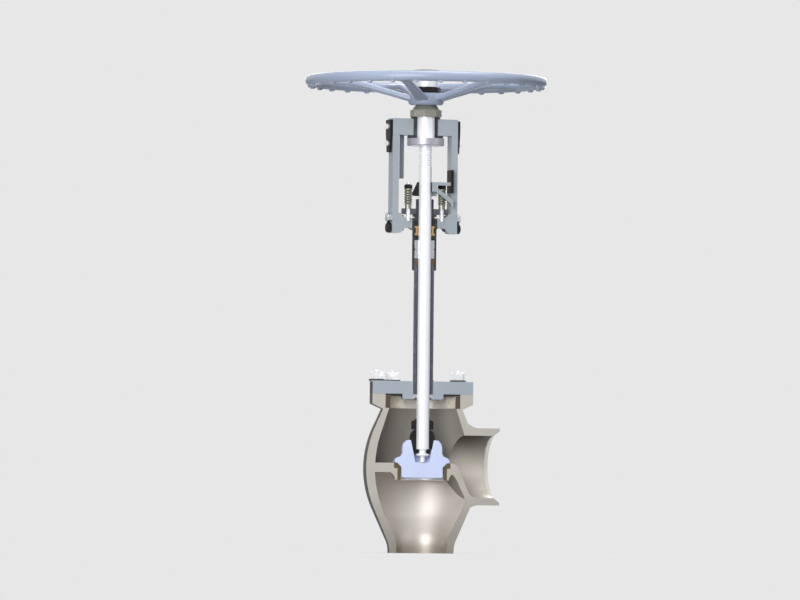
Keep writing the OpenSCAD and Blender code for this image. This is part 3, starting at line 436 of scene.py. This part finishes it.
def pin(heights, radii, steps):
    """Stacks circles on the Z axis. radii holds one radius a row, or one a row and angle."""
    a = np.linspace(0, TURN, steps, endpoint=False)
    r = np.broadcast_to(np.asarray(radii, float).reshape(len(heights), -1), (len(heights), steps))
    z = np.broadcast_to(np.asarray(heights, float)[:, None], r.shape)
    return np.stack([r * np.cos(a), r * np.sin(a), z], -1), False


def thread(heights, radius, low, high, pitch, depth, flank, steps):
    """Radii of a threaded rod, one a row and angle.

    t = |2 frac(z / pitch - a / 2 pi) - 1| runs from 0 at a crest to 1 at a root.
    The cut is depth times t, steepened to the flank's share and clipped flat, and it
    fades to nothing over one pitch at each end of the thread.
    """
    z = np.asarray(heights, float)[:, None]
    a = np.linspace(0, TURN, steps, endpoint=False)[None]
    t = np.abs(2 * np.mod(z / pitch - a / TURN, 1) - 1)
    groove = np.clip((t - 0.5) / flank + 0.5, 0, 1)
    fade = np.clip(np.minimum(z - low, high - z) / pitch, 0, 1)
    return radius - depth * groove * fade


print("a ring of a 4-corner section has", ring([(1, 0), (2, 0), (2, 1), (1, 1)])[0].shape, "points")

# %% [markdown]
# ## The casting and what is fixed in it
#
# The body comes first. Its sawn faces are milled, its inside is blasted and its
# outside is painted dark. A face belongs to the outside where it looks away from
# the axis of the bowl, or of the outlet, and lies further out than the wall. The
# bowl above the seat and the underside of the bridge get a duller finish and a
# darker colour, which is painted shade, and painted shade darkens the top of the
# outlet's bore.

# %% Dress the body, its liner and its seat
OUTLET_Z, OUTLET_R, WALL_X, FLANGE_Z = 216, 79, 128, 331
SEAT_Z, BRIDGE_LOW, BRANCH_X = 215, 145, 84
WALL_HEIGHTS, WALL_RADII = [0, 60, 110, 250, 320, 366], [72, 74, 112, 118, 104, 96]


def in_branch(c, n):
    """True in the outlet's bore: past BRANCH_X, near the outlet's axis, not facing the bowl."""
    near = np.hypot(c[:, 1], c[:, 2] - OUTLET_Z) < OUTLET_R
    return off_cut(c) & near & (c[:, 0] > BRANCH_X) & (n[:, 0] > -0.4)


def in_upper_bowl(c, n):
    """True above the seat, short of the outlet's bore."""
    return off_cut(c) & (c[:, 2] > SEAT_Z) & (c[:, 0] < WALL_X) & ~in_branch(c, n)


def under_bridge(c, n):
    """True on the bridge's underside, which faces down into the lower bowl."""
    return off_cut(c) & (c[:, 2] > BRIDGE_LOW) & (c[:, 2] < SEAT_Z) & (n[:, 2] < -0.3)


def outside(c, n):
    """True where the normal leads away from the outlet's axis (x > WALL_X) or the bowl's axis.

    Faces that lie inside the outlet's bore, OUTLET_R from its axis, are left out, and
    so are those of the bowl that lie inside its wall, whose radius goes with the height.
    """
    on_outlet = (c[:, 0] > WALL_X) & (c[:, 2] < FLANGE_Z)
    away = np.where(on_outlet[:, None], c - [0, 0, OUTLET_Z], c)
    away[:, 0] = np.where(on_outlet, 0, away[:, 0])
    away[:, 2] = np.where(on_outlet, away[:, 2], 0)
    beyond = np.hypot(c[:, 0], c[:, 1]) > np.interp(c[:, 2], WALL_HEIGHTS, WALL_RADII)
    bored = (c[:, 0] > BRANCH_X) & (np.hypot(c[:, 1], c[:, 2] - OUTLET_Z) < OUTLET_R)
    facing = (away * n).sum(1) > 0.05
    return facing & off_cut(c) & ~bored & (on_outlet | beyond)


body = dressed("body", cast_bore, cast_cut, width=1.2)
paint(body, dull_shaded_bore, in_upper_bowl)
paint(body, shaded_pocket_bore, under_bridge)
paint(body, branch_bore, in_branch)
paint(body, cast_skin, outside)
dressed("neck_liner", liner_bore_painted_light, liner_cut)
dressed("seat_ring", turned_bright, shaded_seat_cut)
dressed("bonnet_gasket", graphite, graphite, width=0.3)

# %% [markdown]
# ## Bolting
#
# A stud is a rod threaded at both ends. Its thread is rolled, so the crest and
# the root are round: a zigzag in the height, turned by the angle, gives one
# helix. Eight of them would hold the bonnet, and the half that is left keeps
# four. Their nuts are bright zinc on dark washers.

# %% Bonnet flange, its studs, washers and nuts
STUD_CIRCLE, STUD_R, STUD_LOW, STUD_TOP = 115, 10, 366.3, 454
STUD_PITCH, STUD_DEPTH, STUD_BEVEL = 2.5, 1.2, 2
RIM_REACH = 30


def on_rim(c, n):
    """True on the flange's dark edge, whose faces stand upright and look outwards."""
    outwards = (n * c)[:, :2].sum(1) > RIM_REACH
    return (n[:, 1] > CUT_FACING) & outwards & (np.abs(n[:, 2]) < 0.7)


bonnet = dressed("bonnet_flange", flange_enamel, flange_enamel, width=1.0)
paint(bonnet, flange_edge, on_rim)


def stud(x, y, low, high, radius, pitch, depth, bevel, steps=20):
    """A fully threaded rod on the axis (x, y), with a chamfer of bevel at each end."""
    z = np.arange(low + bevel, high - bevel + 0.01, pitch / 5)
    r = thread(z, radius, low, high, pitch, depth, 0.9, steps)
    z = np.concatenate([[low], z, [high]])
    small = np.full((1, steps), radius - bevel)
    points, closed = pin(z, np.concatenate([small, r, small]), steps)
    return points + [x, y, 0], closed


angles = np.radians(22.5 + 45 * np.arange(4))
places = [(STUD_CIRCLE * math.cos(a), STUD_CIRCLE * math.sin(a)) for a in angles]
form = (STUD_LOW, STUD_TOP, STUD_R, STUD_PITCH, STUD_DEPTH, STUD_BEVEL)
woven("bonnet_studs", [stud(x, y, *form) for x, y in places], zinc)
dressed("bonnet_washers", black_film, width=0.3)
dressed("bonnet_nuts", zinc, width=0.4)

# %% Extension tube, backseat and stuffing box
TUBE_BORE_R, BARREL_R = 19, 33

tube = dressed("extension_tube", tube_oxide, tube_oxide, width=0.4)
paint(tube, black_film, lambda c, n: off_cut(c) & (np.hypot(c[:, 0], c[:, 1]) < TUBE_BORE_R))
dressed("backseat_bush", turned_bright, turned_bright, width=0.4)
box = dressed(
    "stuffing_box", box_dark, box_dark, width=0.8, seams=(-BARREL_R, BARREL_R)
)
paint(box, grey_enamel, lambda c, n: np.abs(c[:, 0]) > BARREL_R)
dressed("bottom_ring", brown_ring, brown_ring, width=0.3)
dressed("guide_bush", turned_bright, turned_bright, width=0.3)
dressed("lantern_ring", lantern_bronze, lantern_bronze, width=0.4)

# %% [markdown]
# ## Packing
#
# The packing is square plaited graphite yarn, cut to length and pressed into the
# box ring by ring. Pressing crowns its four sides. The strands cross at a slant,
# so the surface rises where a strand passes over, in a pattern that runs both
# along the ring and round its section.

# %% Plaited rings between the stem and the stuffing box
LOWER_RING, UPPER_RINGS = (775.1, 786.9), [(810.1, 817.9), (818.1, 825.9)]


def plaited(low, high, inner=16.2, outer=25.9, strands=4, plaits=44, relief=0.22):
    """Half a packing ring, sections carried from 0 to 180 degrees.

    Section: a superellipse of power 5, |x|^5 + |z|^5 = 1, stretched to the box.
    Relief: relief times |sin(strands s + plaits a) cos(strands s - plaits a)|.
    """
    s = np.linspace(0, TURN, 40, endpoint=False)[None]
    a = np.linspace(0, math.pi, 180)[:, None]
    x, z = np.cos(s), np.sin(s)
    swell = (np.abs(x) ** 5 + np.abs(z) ** 5) ** -0.2
    plait = np.sin(strands * s + plaits * a) * np.cos(strands * s - plaits * a)
    sink = relief * (1 - np.abs(plait))
    half_w, half_h = (outer - inner) / 2, (high - low) / 2
    r = (inner + outer) / 2 + x * swell * (half_w - sink)
    height = (low + high) / 2 + z * swell * (half_h - sink)
    return np.stack([r * np.cos(a), r * np.sin(a), height], -1), False


upper = [plaited(*heights) for heights in UPPER_RINGS]
woven("packing_lower", [plaited(*LOWER_RING)], graphite, graphite, angle=60)
woven("packing_upper", upper, graphite, graphite, angle=60)

# %% [markdown]
# ## The gland
#
# Two studs pull the gland flange down on the follower, and twelve disc springs on
# each keep the pull as the packing wears. A disc spring is a shallow steel cone.
# The springs are stacked in turn cone up and cone down, and each is rolled round
# at its rims, so its section is a slanted bar with two round ends.

# %% Follower, flange, studs, springs and nuts
GLAND_X, GLAND_STUD_R, GLAND_STUD_LOW, GLAND_STUD_TOP = 44, 6, 821.2, 916.1
GLAND_PITCH, GLAND_DEPTH, GLAND_BEVEL = 2.2, 0.9, 1.5
SPRING_LOW, SPRING_STEP, SPRING_T, SPRING_CONE, SPRINGS = 863, 3.05, 1.8, 1.1, 12
SPRING_BORE, SPRING_R, SPRING_ROUND = 6.5, 10, 0.5
SPACER_LOW, SPACER_TOP, WASHER_LOW, WASHER_TOP = 853, 862.8, 899.6, 902.1


def disc_spring(k):
    """A bar from the bore to the rim, round at both ends, lifted at the bore or the rim in turn."""
    t = np.linspace(-math.pi / 2, math.pi / 2, 7)
    reach, height = SPRING_ROUND * (1 - np.cos(t)), SPRING_T * (0.5 + 0.5 * np.sin(t))
    rim = np.stack([SPRING_R - reach, height + SPRING_CONE * (k % 2)], -1)
    bore = np.stack([SPRING_BORE + reach, height + SPRING_CONE * (1 - k % 2)], -1)
    section = np.concatenate([rim, bore[::-1]])
    section[:, 1] += SPRING_LOW + k * SPRING_STEP
    return section


def collar(inner, outer, low, high, ease):
    """A square section with its two outer corners eased."""
    return [
        (inner, low),
        (outer - ease, low),
        (outer, low + ease),
        (outer, high - ease),
        (outer - ease, high),
        (inner, high),
    ]


dressed("gland_follower", box_dark, box_dark, width=0.4)
plate = dressed("gland_flange", flange_grey, flange_grey, width=0.8)
paint(plate, black_film, lambda c, n: (n[:, 1] > CUT_FACING) & (n[:, 2] < 0.5))
rings = [collar(SPRING_BORE, SPRING_R - 2, SPACER_LOW, SPACER_TOP, 0.4)]
rings += [disc_spring(k) for k in range(SPRINGS)]
rings += [collar(SPRING_BORE, SPRING_R, WASHER_LOW, WASHER_TOP, 0.5)]
stack = [ring(section, steps=40)[0] for section in rings]
stacks = [(points + [side * GLAND_X, 0, 0], True) for side in (-1, 1) for points in stack]
form = (GLAND_STUD_LOW, GLAND_STUD_TOP, GLAND_STUD_R, GLAND_PITCH, GLAND_DEPTH, GLAND_BEVEL)
studs = [stud(side * GLAND_X, 0, *form) for side in (-1, 1)]
woven("gland_springs", stacks, spring_steel)
woven("gland_studs", studs, zinc)
dressed("gland_nuts", black_film, black_film, width=0.4)

# %% [markdown]
# ## The yoke
#
# Two arms and a plate on top carry the sleeve's bearing. They are flame-cut plate
# under grey enamel. The cleats bolt on, and the strip behind the left arm is a
# scale that shows how far the stem has travelled.

# %% Arms, plate, bolts, cleats, scale and bearing
BOLT_MIDDLE = sum(corner[2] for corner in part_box("yoke_bolts")) / 2 / MM
dressed("yoke_arm_left", grey_enamel, grey_enamel, width=1.0)
dressed("yoke_arm_right", grey_enamel, grey_enamel, width=1.0)
dressed("yoke_plate", grey_enamel, grey_enamel, width=1.0)
bolts = dressed("yoke_bolts", black_film, width=0.5)
paint(bolts, turned_bright, lambda c, n: (c[:, 2] > BOLT_MIDDLE) & (np.abs(n[:, 2]) < 0.9))
dressed("yoke_cleats", black_film, width=0.8)
dressed("cleat_screws", zinc, width=0.3)
dressed("travel_scale", scale_steel, width=0.3)
dressed("sleeve_bush", bearing_steel, bearing_steel, width=0.3)
dressed("thrust_ring_lower", bearing_steel, bearing_steel, width=0.3)
dressed("thrust_ring_upper", bearing_steel, bearing_steel, width=0.3)

# %% [markdown]
# ## What turns
#
# The handwheel drives a sleeve, and the sleeve's thread lifts the stem. The wheel
# is one iron casting under enamel. Its rim is round, its spokes sweep up from the
# hub and flatten on the way, and small grips stand under the rim.

# %% Handwheel: rim, hub, spokes and grips
HUB_Z, HUB_TOP, HUB_R, BORE_R = 1109.3, 1139.3, 44, 22
RIM_R, RIM_Z, RIM_T = 287, 1167.3, 13
SPOKES, SPOKE_ROOT, SPOKE_TIP, SPOKE_HALF = 5, 36, 284, 7.8
SPOKE_KNOTS = [0, 0.16, 0.3, 0.42, 0.58, 1]
SPOKE_HEIGHTS = [HUB_Z + 15, 1136.3, 1145.3, 1154.3, 1164.3, RIM_Z]
WIDTH_KNOTS, SPOKE_WIDTHS = [0, 0.12, 0.85, 1], [19, 13, 9, 12]
GRIPS, GRIP_R, GRIP_HALF, GRIP_SUNK = 30, 6.9, 7.1, 3


def swung(x, y, z, a):
    """Turns a grid by the angle a about the Z axis."""
    return np.stack([x * math.cos(a) - y * math.sin(a), x * math.sin(a) + y * math.cos(a), z], -1)


def rim():
    """A circle of radius RIM_T carried round the axis at RIM_R."""
    s = np.linspace(0, TURN, 32, endpoint=False)
    section = np.stack([RIM_R + RIM_T * np.cos(s), RIM_Z + RIM_T * np.sin(s)], -1)
    return ring(section, steps=240)


def spoke(k):
    """A flat oval carried from the hub to the rim.

    The middle line follows SPOKE_HEIGHTS, smoothed by a running mean. The section is
    |w|^3 + |h|^3 = 1, SPOKE_HALF high and as wide as SPOKE_WIDTHS says, each way.
    """
    u = np.linspace(0, 1, 49)[:, None]
    shifts = np.linspace(-0.07, 0.07, 9)
    lift = np.mean([np.interp(u + d, SPOKE_KNOTS, SPOKE_HEIGHTS) for d in shifts], 0)
    lift += (u < 0.01) * (SPOKE_HEIGHTS[0] - lift)
    along = SPOKE_ROOT + u * (SPOKE_TIP - SPOKE_ROOT)
    s = np.linspace(0, TURN, 28, endpoint=False)[None]
    swell = (np.abs(np.cos(s)) ** 3 + np.abs(np.sin(s)) ** 3) ** (-1 / 3)
    half = np.interp(u, WIDTH_KNOTS, SPOKE_WIDTHS)
    slope = np.gradient(lift[:, 0], along[:, 0])[:, None]
    rise = np.sin(s) * swell * SPOKE_HALF / np.hypot(1, slope)
    turn = TURN * (k / SPOKES + 0.25)
    return swung(along - rise * slope, half * np.cos(s) * swell, lift + rise, turn), False


def grip(k):
    """A rounded peg under the rim: circles whose ends close in by r = GRIP_R sqrt(1 - 0.85 t^6)."""
    t = np.linspace(-1, 1, 9)[:, None]
    s = np.linspace(0, TURN, 16, endpoint=False)[None]
    r = GRIP_R * np.sqrt(1 - 0.85 * t**6)
    x, z = RIM_R + GRIP_HALF * t + 0 * s, RIM_Z - RIM_T + GRIP_SUNK + r * np.sin(s)
    return swung(x, r * np.cos(s), z, TURN * (k + 0.5) / GRIPS), False


hub = ring(
    [
        (BORE_R, HUB_Z),
        (HUB_R - 6, HUB_Z),
        (HUB_R - 1.2, HUB_Z + 3.6),
        (HUB_R, HUB_Z + 6),
        (HUB_R, HUB_TOP - 5),
        (HUB_R - 1.2, HUB_TOP - 1.2),
        (HUB_R - 5, HUB_TOP),
        (BORE_R, HUB_TOP),
    ]
)
arms, pegs = [spoke(k) for k in range(SPOKES)], [grip(k) for k in range(GRIPS)]
woven("handwheel", [rim(), hub] + arms + pegs, wheel_enamel, body="wheel")

# %% Sleeve, its nut, key, protector and cap
SLEEVE_R = 24

sleeve = dressed("yoke_sleeve", ground_stem, width=0.5, body="wheel")
paint(
    sleeve,
    sleeve_steel,
    lambda c, n: (np.hypot(c[:, 0], c[:, 1]) > SLEEVE_R) & (c[:, 2] < HUB_Z),
)
dressed("sleeve_nut", nut_bronze, width=0.6, body="wheel")
dressed("wheel_key", turned_bright, width=0.3, body="wheel")
dressed("wheel_nut", black_film, width=0.6, body="wheel")
dressed("protector_tube", ground_stem, width=0.4, body="wheel")
dressed("protector_cap", black_film, width=0.6, body="wheel")

# %% [markdown]
# ## What rises
#
# The stem is one ground rod. Near its top is the thread that the sleeve turns on:
# a trapezoid of 6 mm pitch, flat at crest and root. Only half of its depth is cut
# here, because a deeper groove would flicker at the size it is seen. The foot of
# the stem ends in a hard round button in the disc's socket, and a groove above it
# holds the split ring that pulls the disc up.

# %% Stem with its thread and groove
STEM_R, STEM_TOP, THREAD_LOW, THREAD_TOP = 16, 1086, 955, 1083
PITCH, THREAD_DEPTH, FLANK = 6, 1.5, 0.4
GROOVE_Z, GROOVE_R, GROOVE_ROUND = 252, 14.5, 6
CLAMP_X = 24


def stem_rod(steps=64):
    """Rows of (z, r): the button and foot, the groove's round arc, the rod and its thread.

    The arc is z = GROOVE_Z + GROOVE_ROUND sin t, r = GROOVE_R + GROOVE_ROUND cos t.
    """
    t = np.radians(np.linspace(-75.5, -284.5, 17))
    arc = np.stack([GROOVE_Z + GROOVE_ROUND * np.sin(t), GROOVE_R + GROOVE_ROUND * np.cos(t)], -1)
    foot = np.array([[225.3, 5], [226.3, 6], [239.9, 6], [240, 13], [243, STEM_R]])
    plain = np.array([[z, STEM_R] for z in (260, 500, 800, THREAD_LOW - 2)])
    low = np.concatenate([foot, arc, plain])
    z = np.arange(THREAD_LOW, THREAD_TOP + 0.01, 0.5)
    r = thread(z, STEM_R, THREAD_LOW, THREAD_TOP + PITCH, PITCH, THREAD_DEPTH, FLANK, steps)
    top = np.array([[STEM_TOP - 2.5, 13], [STEM_TOP, 12.5]])
    spread = np.ones((1, steps))
    radii = np.concatenate([low[:, 1:] * spread, r, top[:, 1:] * spread])
    return pin(np.concatenate([low[:, 0], z, top[:, 0]]), radii, steps)


woven("stem", [stem_rod()], ground_stem, body="stem")
dressed("split_ring", black_film, black_film, width=0.2, body="stem")
dressed("backseat_collar", black_film, black_film, width=0.5, body="stem")
guide = dressed("stem_guide", black_film, width=0.6, body="stem")
# Grey enamel on the arm's front faces only; the black of its sides and underside is painted shade.
paint(guide, grey_enamel, lambda c, n: (c[:, 0] > CLAMP_X) & (n[:, 1] < -0.7))
dressed("guide_slider", black_film, width=0.6, body="stem")
dressed("guide_screws", turned_bright, width=0.2, body="stem")

# %% The disc and its nut
dressed("disc", disc_side, disc_cut, width=0.8, body="disc")
dressed("disc_nut", black_film, black_film, width=0.6, body="disc")

# %% [markdown]
# ## Floor and world
#
# The valve stands on a pale floor that runs on into a pale backdrop. The floor is
# matt paint. To a camera ray it also glows in the backdrop's own colour, wholly so
# from 0.9 m out, which hides the horizon, and partly so near the valve, where its
# shadow has to stay. It throws little light back up, so undersides stay dark. The
# world shows the same colour to camera rays, to rays through glass and to mirror
# rays, and gives a dimmer, cooler fill light to everything else.

# %% Floor and world
BACKDROP, FLOOR_HALF = "#E7E7E7", 90
GLOW_NEAR, GLOW_FAR, NEAR_SHARE = 0.3, 0.9, 0.66
CORNERS = [(-FLOOR_HALF, -FLOOR_HALF, 0), (FLOOR_HALF, -FLOOR_HALF, 0)]
CORNERS += [(FLOOR_HALF, FLOOR_HALF, 0), (-FLOOR_HALF, FLOOR_HALF, 0)]

floor_mesh = bpy.data.meshes.new("floor")
floor_mesh.from_pydata(CORNERS, [], [(0, 1, 2, 3)])
floor = bpy.data.objects.new("floor", floor_mesh)
bpy.context.scene.collection.objects.link(floor)

floor_paint, tree, place = blank("pale_floor_paint")
pale, _ = clouded(tree, place, "#E9E9E9", "#E3E3E3", 1250, 1.0)
ray = add(tree, "LightPath")
bounce = add(
    tree,
    "Mix",
    {MIX_FACTOR: ray.outputs["Is Diffuse Ray"], MIX_A: pale, MIX_B: linear("#8A8A8A")},
    data_type="RGBA",
)
matt = add(tree, "BsdfDiffuse", {"Color": bounce.outputs[MIX_OUT]})
glow = add(tree, "Emission", {"Color": linear(BACKDROP), "Strength": 1.0})
reach = add(tree, "VectorMath", {0: place}, operation="LENGTH")
span = {"From Min": GLOW_NEAR, "From Max": GLOW_FAR, "To Min": NEAR_SHARE, "To Max": 1.0}
share = add(tree, "MapRange", {"Value": reach.outputs["Value"], **span})
rays = {0: ray.outputs["Is Camera Ray"], 1: ray.outputs["Is Transmission Ray"]}
straight = add(tree, "Math", rays, operation="MAXIMUM")
seen = add(tree, "Math", {0: straight.outputs[0], 1: share.outputs[0]}, operation="MULTIPLY")
mixed = add(tree, "MixShader", {0: seen.outputs[0], 1: matt.outputs[0], 2: glow.outputs[0]})
add(tree, "OutputMaterial", {"Surface": mixed.outputs[0]})
floor.data.materials.append(floor_paint)

world = bpy.data.worlds.new("pale_studio")
bpy.context.scene.world = world
world.use_nodes = True
tree = world.node_tree
tree.nodes.clear()
ray = add(tree, "LightPath")
rays = {0: ray.outputs["Is Camera Ray"], 1: ray.outputs["Is Transmission Ray"]}
straight = add(tree, "Math", rays, operation="MAXIMUM")
rays = {0: straight.outputs[0], 1: ray.outputs["Is Glossy Ray"]}
seen = add(tree, "Math", rays, operation="MAXIMUM")
fill = add(tree, "Background", {"Color": linear("#EEF1F6"), "Strength": 0.34})
backdrop = add(tree, "Background", {"Color": linear(BACKDROP), "Strength": 1.0})
mixed = add(tree, "MixShader", {0: seen.outputs[0], 1: fill.outputs[0], 2: backdrop.outputs[0]})
add(tree, "OutputWorld", {"Surface": mixed.outputs[0]})
print("backdrop", BACKDROP)

# %% [markdown]
# ## Lamps and camera
#
# Four softboxes light the valve. The key is a tall one in front and to the left,
# where its mirror image makes the bright streak down the middle of the bowl. A
# weaker one on the right opens the shadows, one above draws the edges of the wheel
# and the flanges, and one behind keeps the back from going black. The camera is
# 20 m away with a long lens and its eye just above the floor, so that the wheel is
# seen a little from below and upright lines stay parallel. It is rolled by 0.6
# degrees, as the one that took the photograph was.

# %% Softboxes and camera
def softbox(name, place, target, wide, high, watts, tint="#FFFFFF"):
    """An area lamp, wide by high metres, at place and turned to look at target."""
    lamp = bpy.data.lights.new(name, "AREA")
    lamp.shape, lamp.size, lamp.size_y, lamp.energy = "RECTANGLE", wide, high, watts
    lamp.color = linear(tint)[:3]
    made = bpy.data.objects.new(name, lamp)
    bpy.context.scene.collection.objects.link(made)
    made.location = place
    made.rotation_mode = "QUATERNION"
    made.rotation_quaternion = (Vector(target) - Vector(place)).to_track_quat("-Z", "Y")
    made.visible_camera = False


softbox("key_box", (-1.75, -2.4, 1.2), (0, 0, 0.25), 1.7, 2.1, 82)
softbox("side_box", (2.2, -1.9, 1.5), (0, 0, 0.8), 1.2, 1.2, 6, "#F4F7FF")
softbox("top_box", (0.4, -0.3, 3.4), (0, 0, 0.8), 1.6, 1.6, 50)
softbox("back_box", (1.0, 2.6, 1.5), (0, 0, 0.6), 1.6, 1.6, 30)

AZIMUTH, REACH, EYE, ROLL = math.radians(-19), 20.0, 0.06, math.radians(0.6)
# Metres a pixel, the picture's size, and where the valve's foot lies in it, in pixels
PIXEL, WIDE, HIGH, AXIS_X, FLOOR_Y = 2.476 * MM, 800, 600, 424, 553
SENSOR = 36
right = Vector((math.cos(AZIMUTH), math.sin(AZIMUTH), 0))
back = Vector((math.sin(AZIMUTH), -math.cos(AZIMUTH), 0))
sideways = right * (WIDE / 2 - AXIS_X) * PIXEL
aim = sideways + Vector((0, 0, (FLOOR_Y - HIGH / 2) * PIXEL))
eye = sideways + back * REACH + Vector((0, 0, EYE))
camera = bpy.data.objects.new("camera", bpy.data.cameras.new("camera"))
bpy.context.scene.collection.objects.link(camera)
bpy.context.scene.camera = camera
camera.location = eye
camera.rotation_mode = "QUATERNION"
camera.rotation_quaternion = (aim - eye).to_track_quat("-Z", "Y") @ Quaternion((0, 0, 1), ROLL)
camera.data.sensor_width = SENSOR
camera.data.lens = SENSOR * (aim - eye).length / (WIDE * PIXEL)
camera.data.clip_start, camera.data.clip_end = 0.5, 300
bpy.context.scene.view_settings.view_transform = "Standard"
print("lens", round(camera.data.lens, 1), "mm")

# %% [markdown]
#
# Last, the scene's transforms are brought up to date.

# %% Bring the scene up to date
bpy.context.view_layer.update()
